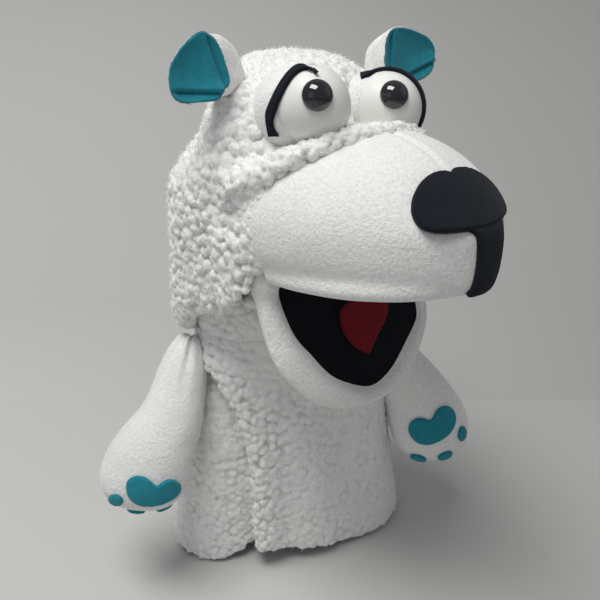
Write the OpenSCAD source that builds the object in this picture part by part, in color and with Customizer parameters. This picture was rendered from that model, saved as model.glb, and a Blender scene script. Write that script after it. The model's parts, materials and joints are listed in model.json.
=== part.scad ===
// Moving-mouth hand puppet: a plain polar bear with curly pile cloth over a foam head,
// a hinged mouth worked by the hand inside, two stuffed arms and an open cloth sleeve.
// Frame: origin at the centre of the sleeve's hem on the floor, +Z up, the body faces -Y.
// The head has its own frame on the same axis, turned by head_turn, with its face towards -Y.

/* [Sleeve] */
// Width of the sleeve at its hem
hem_w = 178; // [160:1:190]
// Depth of the sleeve at its hem, front to back
hem_d = 96; // [88:1:110]
// Width of the two sleeve panels at their top
top_w = 124; // [116:1:130]
// Depth of the two sleeve panels at their top
top_d = 86; // [84:1:90]
// Height of the two sleeve panels
panel_h = 160; // [150:1:162]
// Thickness of the curly pile cloth
pile_t = 5; // [3:0.5:6]
// Depth of the pleat in the front panel at the hem
pleat_depth = 24; // [0:1:26]

/* [Neck] */
// Height of the foam ring round the wrist, where the head nods
neck_z = 180; // [178:1:182]
// Inner radius of the foam ring
ring_r = 34; // [30:0.5:34.5]
// Wall of the foam ring
ring_t = 6; // [4:0.5:6.5]
// Height of the foam ring
ring_h = 14; // [10:1:15]
// Thickness of the plain neck cloth
neck_t = 4; // [3:0.5:4.5]

/* [Head] */
// Width of the head
head_w = 148; // [144:1:156]
// Depth of the head, front to back
head_d = 126; // [120:1:134]
// Height of the top of the head
head_top = 352; // [344:1:360]
// Height of the hood's edge at the back of the head
hood_z = 174; // [170:1:178]
// How far the middle of the head lies in front of the neck
head_ahead = 8; // [4:1:12]
// Turn of the head to its left at rest, in degrees
head_turn = 18; // [0:1:20]
// Tilt of the face upwards, in degrees
face_tilt = 5.4; // [0:0.2:8]
// Turn of the muzzle and the jaw to the left of the eyes, in degrees
face_turn = 3.5; // [0:0.5:4]
// Thickness of the foam in the head and the muzzle
foam_t = 9; // [6:0.5:10]
// Thickness of the smooth fleece
fleece_t = 2; // [1:0.25:2.5]

/* [Muzzle] */
// Width of the muzzle
muzzle_w = 134; // [128:1:136]
// How far in front of the neck the muzzle is widest
muzzle_ahead = 60; // [56:1:64]
// Length of the muzzle from its widest place to its tip
muzzle_reach = 100; // [94:1:104]
// Height of the upper lip above the hinge of the mouth
lip_z = 239.5; // [238:0.5:241]
// Height of the muzzle above the upper lip
muzzle_h = 76; // [70:1:78]

/* [Mouth] */
// Width of the mouth between the lips
mouth_w = 96; // [84:1:98]
// Length of the mouth from its hinge to the upper lip
upper_len = 92; // [82:1:94]
// Length of the mouth from its hinge to the lower lip
lower_len = 82; // [74:1:84]
// How far in front of the neck the hinge lies
hinge_ahead = 58; // [56:1:60]
// Thickness of each mouth board
plate_t = 3; // [2:0.5:4]
// Thickness of the felt that lines the mouth
felt_t = 1.5; // [1:0.25:1.75]
// Radius of the folded cloth bead that the jaw turns on
bead_r = 2.3; // [1.8:0.1:2.4]
// Angle of the open mouth at rest, in degrees
open_angle = 70; // [50:1:72]

/* [Jaw] */
// Width of the lower jaw
jaw_w = 126; // [116:1:128]
// Length of the lower jaw in front of its hinge
jaw_reach = 90; // [87:1:95]
// Depth of the lower jaw under its lip
jaw_depth = 25; // [22:1:27]
// Thickness of the foam in the jaw
jaw_foam_t = 4; // [3:0.5:5]
// Length of the tongue
tongue_len = 44; // [34:1:50]
// Width of the tongue
tongue_w = 34; // [26:1:40]
// Thickness of the tongue
tongue_t = 2; // [1.5:0.25:2.5]

/* [Eyes] */
// Diameter of each eyeball
eye_d = 39; // [36:0.5:40]
// Wall of each hollow eyeball
eye_wall = 1.6; // [1:0.1:2]
// Distance between the eyeballs' centres
eye_span = 54.5; // [50:0.5:56]
// How far in front of the neck the eyeballs lie
eye_ahead = 65.5; // [64:0.5:68]
// Height of the eyeballs' centres
eye_z = 326; // [324:1:328]
// Diameter of each pupil
pupil_d = 15; // [12:0.5:17]
// Diameter of the stalk behind each pupil
stalk_d = 4; // [3:0.5:5]
// Width of the felt rim round the eyes
rim_w = 2.4; // [1.5:0.1:3]

/* [Nose] */
// Width of the nose
nose_w = 51; // [44:1:58]
// Height of the nose, measured along its slope
nose_h = 40; // [34:1:44]
// Thickness of the nose
nose_t = 4; // [2.5:0.5:5]
// Width of the strap from the nose down to the lip
strap_w = 17; // [14:1:24]

/* [Ears] */
// Width of each ear
ear_w = 42; // [38:1:44]
// Height of each ear
ear_h = 35; // [32:1:38]
// Distance of each ear's centre from the head's middle
ear_side = 68; // [65:1:70]
// How far in front of the neck the ears lie
ear_ahead = 33; // [28:1:38]
// Height of the ears' centres
ear_z = 346; // [342:1:348]
// Thickness of the felt in the ears
ear_felt_t = 1.5; // [1:0.25:1.75]

/* [Arms] */
// Length of each arm from its shoulder to the end of the paw
arm_l = 98; // [90:1:104]
// Width of each paw
paw_w = 56; // [50:1:60]
// Depth of each paw, front to back
paw_d = 48; // [42:1:52]
// Radius of the round top of each arm
shoulder_r = 10; // [9:0.5:11]
// Height of the shoulders
shoulder_z = 150; // [144:1:152]
// How far in front of the neck the shoulders lie
shoulder_ahead = 4; // [2:1:6]
// How far each arm hangs out from the body at rest, in degrees
arm_out = 22; // [16:1:28]
// How far each arm hangs forward at rest, in degrees
arm_forward = 15; // [4:1:18]
// Thickness of the felt pads on the paws
pad_t = 2.5; // [1.5:0.25:3]
// Width of the large pad on each paw
pad_w = 34; // [28:1:38]

/* [Hidden] */
$fn = 48;
// Clearance between soft pieces that are sewn or glued together
seam = 0.2;
// Clearance between soft pieces that move past each other
slip = 0.3;
// Far enough to cut right through any piece
far = 300;
// Gap between the closed lips
lip_gap = 1;
// Steps round a soft ring
ring_steps = 32;
// Steps round the sleeve, a multiple of four
sleeve_steps = 72;
// Where the curly cloth meets the muzzle's fleece, in front of the neck
seam_ahead = 75;
// Half width of the cheeks beside the jaw, and how steeply their lower edge rises forwards
cheek_half = 70;
cheek_rise = 0.35;
hinge_z = lip_z - lip_gap / 2;
head_mid_z = 262;
jaw_lip_z = lip_z - lip_gap;
eye_r = eye_d / 2;
pupil_r = pupil_d / 2;
// How far an eyeball's flat back lies behind its centre
eye_back = 9;
// Radius of the fleece mound that holds each eyeball, and how far it lies behind it
mound_r = eye_r + 3;
mound_back = 12;
// Each eyeball's own direction, and where each pupil looks: turn to the left and rise
eye_rise = 8;
eye_turn_out = 8;
gaze_right = [-14, 28];
gaze_left = [-25, 30];
// Arcs of the felt rims, from the ear's side of the eye: start and sweep
rim_arc_right = [72, 152];
rim_arc_left = [-41, 180];
// Angle of the pleat from the front, at the hem and at the top, and its half width
pleat_low = -26;
pleat_high = -58;
pleat_half = 13;
// Height of the middle of the nose, and the slope of the surface it lies on
nose_z = 276;
nose_slope = 42;
// Front edge of the hood, and how far its rim rises there
hood_rise = 42;
// How far behind its hinge the jaw reaches
jaw_tail = 3;
// Where the neck cloth meets the head's foam
foam_low = 214;
// Thickness and radius of the gathered cloth disc at each shoulder
disc_t = 3;
disc_r = 11;
// How far the sleeve's side leans in, in degrees
side_lean = atan((hem_w - top_w) / 2 / panel_h);
// From the sleeve's side to the middle of an arm's round top, square to the side
shoulder_off = disc_t + shoulder_r + 2 * slip;
arm_pivot_x = panel_half(top_w, hem_w, shoulder_z) + shoulder_off * cos(side_lean);
arm_pivot_z = shoulder_z + shoulder_off * sin(side_lean);

// ---- Soft solids: rings of points, joined by triangles ----

// A number raised to a power with its sign kept
function signed_pow(v, p) = sign(v) * pow(abs(v), p);

// A point on an oval of the given squareness, 2 being an ellipse
function oval(angle, half_x, half_y, square) =
    [half_x * signed_pow(cos(angle), 2 / square), half_y * signed_pow(sin(angle), 2 / square)];

// Two triangles for each step between two neighbouring rows of n points
function band(low, high, n, last) = [
    for (j = [0:last])
        let (k = (j + 1) % n)
        each [[low + j, high + j, high + k], [low + j, high + k, low + k]]
];

// The mean of a list of points
function middle(points) = [for (i = [0:2]) let (c = [for (p = points) p[i]]) sum(c) / len(c)];
function sum(v) = [for (i = 0, s = v[0]; i < len(v); i = i + 1, s = i < len(v) ? s + v[i] : s) s][len(v) - 1];

// A closed solid through a stack of rings, which run counter-clockwise seen from the last one
module skin(rings) {
    n = len(rings[0]);
    m = len(rings);
    points = [for (ring = rings) each ring, middle(rings[0]), middle(rings[m - 1])];
    walls = [for (i = [0:m - 2]) each band(i * n, (i + 1) * n, n, n - 1)];
    low_cap = [for (j = [0:n - 1]) [m * n, j, (j + 1) % n]];
    high_cap = [for (j = [0:n - 1]) [m * n + 1, (m - 1) * n + (j + 1) % n, (m - 1) * n + j]];
    polyhedron(points, concat(walls, low_cap, high_cap));
}

// A solid sheet between an outer and an inner surface, each a stack of open rows
module sheet(outer, inner) {
    n = len(outer[0]);
    m = len(outer);
    base = m * n;
    last = (m - 1) * n;
    points = [for (row = outer) each row, for (row = inner) each row];
    outside = [for (i = [0:m - 2]) each band(i * n, (i + 1) * n, n, n - 2)];
    inside = [for (f = outside) [f[0] + base, f[2] + base, f[1] + base]];
    low_edge = [for (j = [0:n - 2]) each [[j, j + 1, base + j + 1], [j, base + j + 1, base + j]]];
    high_edge = [for (f = low_edge) [for (i = [2, 1, 0]) f[i] + last]];
    first_side = [
        for (i = [0:m - 2])
            let (a = i * n, b = a + n)
            each [[a, base + a, base + b], [a, base + b, b]]
    ];
    last_side = [for (f = first_side) [for (i = [2, 1, 0]) f[i] + n - 1]];
    polyhedron(points, concat(outside, inside, low_edge, high_edge, first_side, last_side));
}

// Soft pieces that are cut by one another are worked out as one mesh
module one_mesh() {
    resize([0, 0, 0]) children();
}

// Keeps only what lies above a height
module above(z) {
    intersection() {
        children();
        translate([-far, -far, z]) cube([2 * far, 2 * far, far]);
    }
}

// ---- The sleeve: two curly panels sewn at the sides ----

// Half width of a panel at a height, from its size at the top and at the hem
function panel_half(at_top, at_hem, z) = (at_hem + (at_top - at_hem) * z / panel_h) / 2;

// A point of the sleeve, by its angle from the front and its height
function sleeve_point(angle, z, inset) =
    let (
        rise = z / panel_h,
        fold_at = pleat_low + (pleat_high - pleat_low) * rise,
        fold = pleat_depth * (1 - 0.55 * rise) * exp(-pow((angle - fold_at) / pleat_half, 2)),
        half_x = panel_half(top_w, hem_w, z) - inset,
        half_y = panel_half(top_d, hem_d, z) - inset,
        edge = oval(angle - 90, half_x, half_y, 2.2),
        reach = norm(edge)
    )
    [edge[0] * (reach - fold) / reach, edge[1] * (reach - fold) / reach, z];

// Rows of a panel from one side seam to the other
function panel_rows(from, inset) = [
    for (z = [0:panel_h / 6:panel_h + 0.01])
        [for (a = [from:360 / sleeve_steps:from + 180.01]) sleeve_point(a, z, inset)]
];

module sleeve_front() {
    color("white") sheet(panel_rows(-90, 0), panel_rows(-90, pile_t));
}

module sleeve_back() {
    color("whitesmoke") sheet(panel_rows(90, 0), panel_rows(90, pile_t));
}

// ---- The neck: a cloth tube from the sleeve to the head, over a foam ring ----

neck_outer_r = ring_r + ring_t + slip + neck_t;

// A ring of the neck cloth, its outer face or its inner face
function neck_row(z, half_x, half_y, inset) = [
    for (j = [0:ring_steps - 1])
        let (p = oval(360 * j / ring_steps, half_x - inset, half_y - inset, 2.1))
        [p[0], p[1], z]
];

function neck_rows(inset) = [
    neck_row(panel_h + seam, top_w / 2, top_d / 2, inset),
    neck_row(neck_z - ring_h, neck_outer_r + 4, neck_outer_r, inset),
    neck_row(neck_z - ring_h / 2, neck_outer_r, neck_outer_r, inset),
    neck_row(neck_z + ring_h / 2, neck_outer_r, neck_outer_r, inset),
    neck_row(foam_low - 12, neck_outer_r + 5, neck_outer_r - 6, inset),
    neck_row(foam_low - seam, neck_outer_r + 8, neck_outer_r - 8, inset)
];

module neck_cloth() {
    outer = neck_rows(0);
    inner = neck_rows(neck_t);
    color("white") one_mesh() difference() {
        skin(outer);
        skin([
            for (i = [0:len(inner) - 1])
                let (over = i == 0 ? -1 : i == len(inner) - 1 ? 1 : 0)
                [for (p = inner[i]) p + [0, 0, over]]
        ]);
    }
}

module neck_ring() {
    color("lightyellow") translate([0, 0, neck_z - ring_h / 2]) difference() {
        cylinder(h = ring_h, r = ring_r + ring_t);
        translate([0, 0, -1]) cylinder(h = ring_h + 2, r = ring_r);
    }
}

// ---- The head, in its own frame ----

module in_head() {
    rotate([0, 0, head_turn]) children();
}

// The face's own frame: turned a little and tilted up about the hinge of the mouth
module tilt() {
    rotate([0, 0, face_turn]) translate([0, -hinge_ahead, hinge_z]) rotate([-face_tilt, 0, 0]) translate([0, hinge_ahead, -hinge_z]) children();
}

module in_face() {
    in_head() tilt() children();
}

// A ring of the skull at a rise of 0 to 90 degrees above its middle, grown by a margin
function dome_row(rise, grow) =
    let (
        part = pow(cos(rise), 2 / 2.6),
        z = head_mid_z + (head_top - head_mid_z + grow) * pow(sin(rise), 2 / 2.6)
    )
    skull_row(z, (head_w / 2 + grow) * part, (head_d / 2 + grow) * part);

function skull_row(z, half_x, half_y) = [
    for (j = [0:ring_steps - 1])
        let (p = oval(360 * j / ring_steps, half_x, half_y, 2.3))
        [p[0], p[1] - head_ahead, z]
];

// A ring of the hood under the skull's middle, whose rim rises towards the face
function hood_row(part, grow, under) =
    let (
        tuck = 1 - 0.05 * part * part,
        half_x = (head_w / 2 + grow) * tuck,
        half_y = (head_d / 2 + grow) * tuck
    )
    [
        for (p = skull_row(0, half_x, half_y))
            let (
                ahead = 0.5 - (p[1] + head_ahead) / head_d,
                rim_z = hood_z + hood_rise * ahead - under
            )
            [p[0], p[1], head_mid_z + (rim_z - head_mid_z) * part]
    ];

// The skull's outer shape grown by a margin, open-ended below by some more
module skull(grow, under = 0) {
    skin(concat(
        [for (part = [1, 0.92, 0.6, 0.3]) hood_row(part, grow, under)],
        [for (rise = [0, 15, 30, 45, 58, 70, 80, 88]) dome_row(rise, grow)]
    ));
}

// A section of the muzzle at a turn of 0 to 90 degrees towards its tip
function muzzle_row(turn, y, grow) =
    let (
        blunt = pow(cos(turn), 0.3),
        ahead = sin(turn),
        mid_z = lip_z + 0.37 * muzzle_h,
        top_z = lip_z + muzzle_h * (1 - 0.6 * pow(ahead, 3.84)) + grow,
        half_x = (muzzle_w / 2 + grow) * pow(cos(turn), 1.02),
        up = (top_z - mid_z) * blunt,
        down = 0.46 * muzzle_h * pow(cos(turn), 0.15) + grow
    )
    [
        for (j = [0:ring_steps - 1])
            let (
                angle = 360 * j / ring_steps,
                p = angle < 180 ? oval(angle, half_x, up, 1.95) : oval(angle, half_x, down, 2.8)
            )
            [p[0], y, mid_z + p[1]]
    ];

// The muzzle's outer shape grown by a margin
module muzzle(grow) {
    skin(concat(
        [muzzle_row(0, -0.3 * muzzle_ahead, grow), muzzle_row(0, -0.7 * muzzle_ahead, grow)],
        [
            for (turn = [0, 12, 24, 36, 47, 57, 66, 74, 81, 86, 88.5])
                muzzle_row(turn, -muzzle_ahead - (muzzle_reach + grow) * sin(turn), grow)
        ]
    ));
}

// The room that the lower jaw swings in, up to the top of the upper board
jaw_bay_half = jaw_w / 2 + 2 * slip;
jaw_swing_r = norm([jaw_tail, jaw_depth + lip_gap]) + slip;
board_top = lip_z + fleece_t + plate_t + 2 * seam;
// Width, height and depth of the pocket for the fingers over the upper board
finger_span = 74;
finger_rise = 19;
finger_reach = 54;
finger_band_w = 26;
thumb_span = 44;
thumb_rise = 13;
thumb_back = 16;
thumb_band_w = 20;
band_t = 2;

module jaw_bay() {
    tilt() translate([-jaw_bay_half, -far, board_top - far])
        cube([2 * jaw_bay_half, far - hinge_ahead + jaw_swing_r, far]);
}

// Both eyeballs' round envelopes grown by a margin
module eye_balls(grow) {
    for (side = [-1, 1])
        translate([side * eye_span / 2, -eye_ahead, eye_z]) sphere(r = eye_r + grow, $fn = 32);
}

// The back of the muzzle, which the curly cloth covers as far as its seam with the fleece
module muzzle_back(grow, past = 0) {
    intersection() {
        tilt() muzzle(grow);
        translate([-far, -seam_ahead - past, 0]) cube(2 * far);
    }
}

// The cheeks beside the open jaw
module cheeks(grow) {
    rows = [
        for (z = [foam_low - 4, head_mid_z])
            [
                for (j = [0:ring_steps - 1])
                    let (p = oval(360 * j / ring_steps, cheek_half + grow, seam_ahead - 32 + grow, 4))
                    [p[0], p[1] - 32, z + (z < head_mid_z ? cheek_rise * max(0, -p[1]) - grow : grow)]
            ]
    ];
    skin(rows);
}

// All that the curly cloth covers, grown by a margin
module hood(grow, under = 0, past = 0) {
    skull(grow, under);
    muzzle_back(grow, past);
    cheeks(grow);
}

module head_cover() {
    color("white") in_head() one_mesh() difference() {
        hood(0);
        hood(-pile_t, 1, 1);
        tilt() muzzle(-fleece_t - foam_t);
        jaw_bay();
        eye_balls(0.5);
    }
}

module head_foam() {
    color("lightyellow") in_head() one_mesh() difference() {
        above(foam_low) skull(-pile_t - seam, 0);
        skull(-pile_t - foam_t, 1);
        tilt() muzzle(-fleece_t - foam_t);
        jaw_bay();
        eye_balls(0.5);
    }
}

module muzzle_cover() {
    color("white") in_head() one_mesh() difference() {
        tilt() difference() {
            above(lip_z) muzzle(0);
            above(lip_z + fleece_t) muzzle(-fleece_t);
            mouth_shape(mouth_w, upper_len, lip_z - 1, fleece_t + 2);
        }
        translate([-far, -seam_ahead - seam, 0]) cube(2 * far);
        eye_balls(0.5);
    }
}

// The room that the fingers and their band take up over the upper board
module finger_room() {
    translate([-finger_span / 2 - seam, -hinge_ahead - finger_reach, board_top - 1])
        cube([finger_span + 2 * seam, finger_reach, finger_rise + 1]);
}

module muzzle_foam() {
    color("lightyellow") in_head() one_mesh() difference() {
        tilt() difference() {
            above(board_top) muzzle(-fleece_t - seam);
            muzzle(-fleece_t - foam_t);
            finger_room();
        }
        difference() {
            hood(1, 0, 0);
            hood(-pile_t - seam, 1, 1);
        }
        skull(-pile_t);
        eye_balls(0.5);
    }
}

// ---- The mouth: boards, lining and straps ----

// A flat tongue-like outline from the hinge forwards, cut at a height
module mouth_shape(width, length, z, thick, tail = jaw_tail) {
    back = hinge_ahead - tail;
    half = width / 2;
    straight = length - half * 1.15;
    translate([0, 0, z]) linear_extrude(thick) polygon(concat(
        [[half, -back], [-half, -back]],
        [
            for (a = [180:7.5:360])
                [half * cos(a), -hinge_ahead - straight + half * 1.15 * sin(a)]
        ]
    ));
}

module upper_plate() {
    color("saddlebrown") in_face() one_mesh() intersection() {
        muzzle(-fleece_t - seam);
        mouth_shape(muzzle_w, muzzle_reach + muzzle_ahead - hinge_ahead, lip_z + fleece_t + seam, plate_t);
    }
}

module upper_lining() {
    color("black") in_face()
        mouth_shape(mouth_w - 2 * seam, upper_len - seam, lip_z + fleece_t - felt_t, felt_t, -bead_r - slip);
}

// A band that arches over a board, as wide as span, and rises by high
module strap(span, high, wide, thick) {
    rotate([90, 0, 0]) linear_extrude(wide) difference() {
        polygon([for (a = [0:10:180]) oval(a, span / 2, high, 2.6)]);
        polygon([for (a = [0:10:180]) oval(a, span / 2 - thick, high - thick, 2.6) - [0, a % 180 == 0 ? 1 : 0]]);
    }
}

module finger_strap() {
    color("dimgray") in_face()
        translate([0, -hinge_ahead - finger_reach + finger_band_w + band_t, board_top])
            strap(finger_span, finger_rise, finger_band_w, band_t);
}

module mouth_hinge() {
    color("black") in_face() translate([-mouth_w / 2 + 1, -hinge_ahead, hinge_z])
        rotate([0, 90, 0]) cylinder(h = mouth_w - 2, r = bead_r);
}

// Turns the closed jaw open about its hinge
module in_jaw() {
    in_face() translate([0, -hinge_ahead, hinge_z]) rotate([open_angle, 0, 0])
        translate([0, hinge_ahead, -hinge_z]) children();
}

// A section of the closed jaw at a turn of 0 to 90 degrees towards its tip
function jaw_row(turn, y, grow) =
    let (
        half_x = (jaw_w / 2 + grow) * pow(cos(turn), 0.9),
        down = (jaw_depth + grow) * pow(cos(turn), 0.35)
    )
    [
        for (j = [0:ring_steps - 1])
            let (
                angle = 360 * j / ring_steps,
                p = angle <= 180 ? oval(angle, half_x, 0.3 * down, 2.3) : oval(angle, half_x, down, 2.3)
            )
            [p[0], y, jaw_lip_z + p[1]]
    ];

// Where the jaw starts to narrow, measured from its hinge
jaw_shoulder = 30;

module jaw(grow) {
    reach = jaw_reach - jaw_shoulder + grow;
    below_lip() skin(concat(
        [jaw_row(0, -hinge_ahead + jaw_tail, grow)],
        [
            for (turn = [0, 14, 27, 39, 50, 60, 69, 77, 84, 88])
                jaw_row(turn, -hinge_ahead - jaw_shoulder - reach * sin(turn), grow)
        ]
    ));
}

// Keeps only what lies under the lower lip
module below_lip(drop = 0) {
    intersection() {
        children();
        translate([-far, -far, jaw_lip_z - drop - far]) cube([2 * far, 2 * far, far]);
    }
}

module jaw_cover() {
    color("white") in_jaw() one_mesh() difference() {
        jaw(0);
        below_lip(fleece_t) jaw_hollow(-fleece_t);
        mouth_shape(mouth_w, lower_len, jaw_lip_z - fleece_t - 1, fleece_t + 2);
        bead_room();
    }
}

// The jaw's shape left open at its back, where the thumb goes in
module jaw_hollow(grow) {
    jaw(grow);
    translate([0, jaw_tail, 0]) jaw(grow);
}

// Room round the bead for everything that turns about it
module bead_room() {
    translate([-far, -hinge_ahead, hinge_z]) rotate([0, 90, 0]) cylinder(h = 2 * far, r = bead_r + slip);
}

plate_drop = fleece_t + seam;

module jaw_foam() {
    color("lightyellow") in_jaw() one_mesh() difference() {
        below_lip(plate_drop + plate_t + seam) jaw(-fleece_t - seam);
        below_lip(plate_drop + plate_t) jaw_hollow(-fleece_t - jaw_foam_t);
    }
}

module lower_plate() {
    color("saddlebrown") in_jaw() one_mesh() difference() {
        intersection() {
            jaw(-fleece_t - seam);
            mouth_shape(jaw_w, jaw_reach, jaw_lip_z - plate_drop - plate_t, plate_t);
        }
        bead_room();
    }
}

module lower_lining() {
    color("black") in_jaw()
        mouth_shape(mouth_w - 2 * seam, lower_len - seam, jaw_lip_z - fleece_t, felt_t, -bead_r - slip);
}

// The tongue lies on the lining, pointed at the front and sewn a little to the left
tongue_side = 8;

module tongue() {
    half = tongue_w / 2;
    base_y = -hinge_ahead - 30;
    color("darkred") in_jaw() translate([tongue_side, base_y, jaw_lip_z - fleece_t + felt_t + seam])
        linear_extrude(tongue_t) polygon(concat(
            [for (a = [0:15:180]) [half * cos(a), 0.35 * half * sin(a)]],
            [for (a = [15:15:75]) [-half * cos(a), -(tongue_len - half) * sin(a)]],
            [[0, -(tongue_len - half) - 4]],
            [for (a = [75:-15:15]) [half * cos(a), -(tongue_len - half) * sin(a)]]
        ));
}

module thumb_strap() {
    color("dimgray") in_jaw()
        translate([0, -hinge_ahead - thumb_back, jaw_lip_z - plate_drop - plate_t - seam])
        mirror([0, 0, 1]) strap(thumb_span, thumb_rise, thumb_band_w, band_t);
}

// ---- The eyes ----

// Puts a child with its front towards +Z on an eyeball's centre, facing a turn and a rise
module on_eye(side, turn, rise) {
    in_head() translate([side * eye_span / 2, -eye_ahead, eye_z])
        rotate([90 - rise, 0, turn]) children();
}

module eyeball(side, gaze) {
    color("ivory") difference() {
        on_eye(side, side * eye_turn_out, eye_rise) difference() {
            sphere(r = eye_r);
            sphere(r = eye_r - eye_wall);
            translate([0, 0, -far - eye_back]) cylinder(h = far, r = eye_d);
        }
        on_eye(side, gaze[0], gaze[1]) cylinder(h = eye_d, r = stalk_d / 2 + 0.05);
    }
}

module eyeball_right() { eyeball(-1, gaze_right); }
module eyeball_left() { eyeball(1, gaze_left); }

// A glossy dome seated on the eyeball, with a stalk through its wall
module pupil(side, gaze) {
    color("black") on_eye(side, gaze[0], gaze[1]) {
        difference() {
            intersection() {
                translate([0, 0, eye_r - 3.5]) sphere(r = pupil_r + 1);
                cylinder(h = eye_d, r = pupil_r);
            }
            sphere(r = eye_r + 0.02);
        }
        translate([0, 0, eye_r - eye_wall - 2.4]) cylinder(h = eye_wall + 3, r = stalk_d / 2);
    }
}

module pupil_right() { pupil(-1, gaze_right); }
module pupil_left() { pupil(1, gaze_left); }

// The washer that locks a pupil's stalk inside the hollow eyeball
module pupil_washer(side, gaze) {
    washer_r = stalk_d / 2 + 3;
    seat = sqrt(pow(eye_r - eye_wall, 2) - pow(washer_r, 2)) - 0.05;
    color("silver") on_eye(side, gaze[0], gaze[1]) translate([0, 0, seat - 1]) difference() {
        cylinder(h = 1, r = washer_r);
        translate([0, 0, -1]) cylinder(h = 3, r = stalk_d / 2 + 0.02);
    }
}

module pupil_washer_right() { pupil_washer(-1, gaze_right); }
module pupil_washer_left() { pupil_washer(1, gaze_left); }

module eye_mound(side) {
    color("white") one_mesh() difference() {
        on_eye(side, side * eye_turn_out, eye_rise)
            translate([0, 0, -mound_back]) sphere(r = mound_r, $fn = 32);
        in_head() {
            hood(seam);
            tilt() muzzle(seam);
            eye_balls(0.5);
            translate([-side * far / 2, 0, 0]) cube([far, 2 * far, 4 * far], center = true);
        }
    }
}

module eye_mound_right() { eye_mound(-1); }
module eye_mound_left() { eye_mound(1); }

// A strip of felt that stands round part of the eyeball, in front of its mound
module eye_rim(side, arc) {
    color("black") on_eye(side, side * eye_turn_out, eye_rise) rotate([0, 0, arc[0]])
        rotate_extrude(angle = arc[1]) translate([eye_r + slip, -0.8]) square([rim_w, 2.2]);
}

module eye_rim_right() { eye_rim(-1, rim_arc_right); }
module eye_rim_left() { eye_rim(1, rim_arc_left); }

// ---- The nose ----

// The nose's outline pushed through the front of the muzzle along the nose's own direction
module nose_prism(grow) {
    lobe = nose_w / 4 + grow;
    translate([0, -muzzle_ahead - muzzle_reach + 14, nose_z]) rotate([nose_slope, 0, 0])
        translate([0, 0, -2]) linear_extrude(60) {
        for (side = [-1, 1]) hull() {
            translate([side * (nose_w / 4 - 1), nose_h / 2 - nose_w / 4]) circle(r = lobe, $fn = 24);
            translate([side * nose_w / 4, -nose_h / 4]) circle(r = lobe, $fn = 24);
        }
        translate([0, -nose_h / 4]) square([nose_w / 2, nose_h / 2 + 2 * grow], center = true);
    }
}

// The layer of a given thickness that lies on the muzzle
module on_muzzle(thick) {
    difference() {
        above(lip_z + 0.5) muzzle(thick + seam);
        muzzle(seam);
    }
}

module nose() {
    color("black") in_face() one_mesh() intersection() {
        on_muzzle(nose_t);
        nose_prism(0);
    }
}

module nose_strap() {
    color("black") in_face() one_mesh() difference() {
        intersection() {
            on_muzzle(nose_t - 1);
            translate([-strap_w / 2, -far, lip_z]) cube([strap_w, far - muzzle_ahead - muzzle_reach / 2, nose_z - lip_z]);
        }
        nose_prism(seam);
    }
}

// ---- The ears ----

// Share of its width left to the right ear, which is folded together more than the left one
ear_fold = 0.78;

// Puts a child with its front towards +Z at an ear's place
module on_ear(side) {
    in_head() translate([side * ear_side, -ear_ahead, ear_z]) rotate([82, 0, side < 0 ? -10 : -2])
        rotate([0, 0, side * -20]) scale([side < 0 ? ear_fold : 1, 1, 1]) children();
}

function ear_row(z, share) = [
    for (j = [0:ring_steps - 1])
        let (p = oval(360 * j / ring_steps, share * ear_w / 2, share * ear_h / 2, 2.4))
        [p[0], p[1], z]
];

// Half the size of the gathered root that joins an ear to the head
ear_root_r = 8;

module ear(side) {
    color("white") one_mesh() difference() {
        union() {
            on_ear(side) skin([
                ear_row(-10, 0.45), ear_row(-8.5, 0.75), ear_row(-4, 0.95), ear_row(2.5, 1),
                ear_row(4, 0.96), ear_row(3.5, 0.88), ear_row(0.5, 0.82), ear_row(0, 0.5)
            ]);
            in_head() translate([side * (ear_side - 11), -ear_ahead + 9, ear_z - 15])
                sphere(r = ear_root_r, $fn = 16);
        }
        in_head() skull(seam);
    }
}

module ear_right() { ear(-1); }
module ear_left() { ear(1); }

module ear_lining(side) {
    color("darkturquoise") one_mesh() difference() {
        on_ear(side) skin([
            ear_row(0.2, 0.45), ear_row(0.8, 0.79), ear_row(0.8 + ear_felt_t, 0.8), ear_row(0.2 + ear_felt_t, 0.45)
        ]);
        in_head() skull(seam);
    }
}

module ear_lining_right() { ear_lining(-1); }
module ear_lining_left() { ear_lining(1); }

// ---- The arms ----

// Puts the parts of a right arm, which hangs down from its shoulder, at either side
module on_shoulder(side) {
    translate([side * arm_pivot_x, -shoulder_ahead, arm_pivot_z]) scale_side(side)
        rotate([-arm_forward, 0, 0]) rotate([0, arm_out, 0]) children();
}

// Mirrors a right-hand piece for the left side
module scale_side(side) {
    if (side > 0) mirror([1, 0, 0]) children();
    else children();
}

// Shares of the arm's length, the paw's half width and the paw's half depth, from the paw up
arm_sections = [
    [1, 0.2, 0.18], [0.985, 0.55, 0.5], [0.94, 0.83, 0.8], [0.87, 0.97, 0.96], [0.78, 1, 1],
    [0.66, 0.96, 0.95], [0.52, 0.84, 0.84], [0.37, 0.73, 0.75], [0.22, 0.6, 0.64], [0.1, 0.46, 0.52]
];

arm_steps = 24;

function arm_row(z, half_x, half_y) = [
    for (j = [0:arm_steps - 1])
        let (p = oval(360 * j / arm_steps, half_x, half_y, 2.1))
        [p[0], p[1], z]
];

// The arm's outer shape grown by a margin, ending in a round top about the shoulder
module arm(grow) {
    skin(concat(
        [
            for (s = arm_sections)
                arm_row(-s[0] * arm_l - grow * s[0], s[1] * paw_w / 2 + grow, s[2] * paw_d / 2 + grow)
        ],
        [
            for (rise = [10, 35, 60, 80])
                arm_row((shoulder_r + grow) * sin(rise), (shoulder_r + grow) * cos(rise), (shoulder_r + grow) * cos(rise))
        ]
    ));
}

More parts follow.
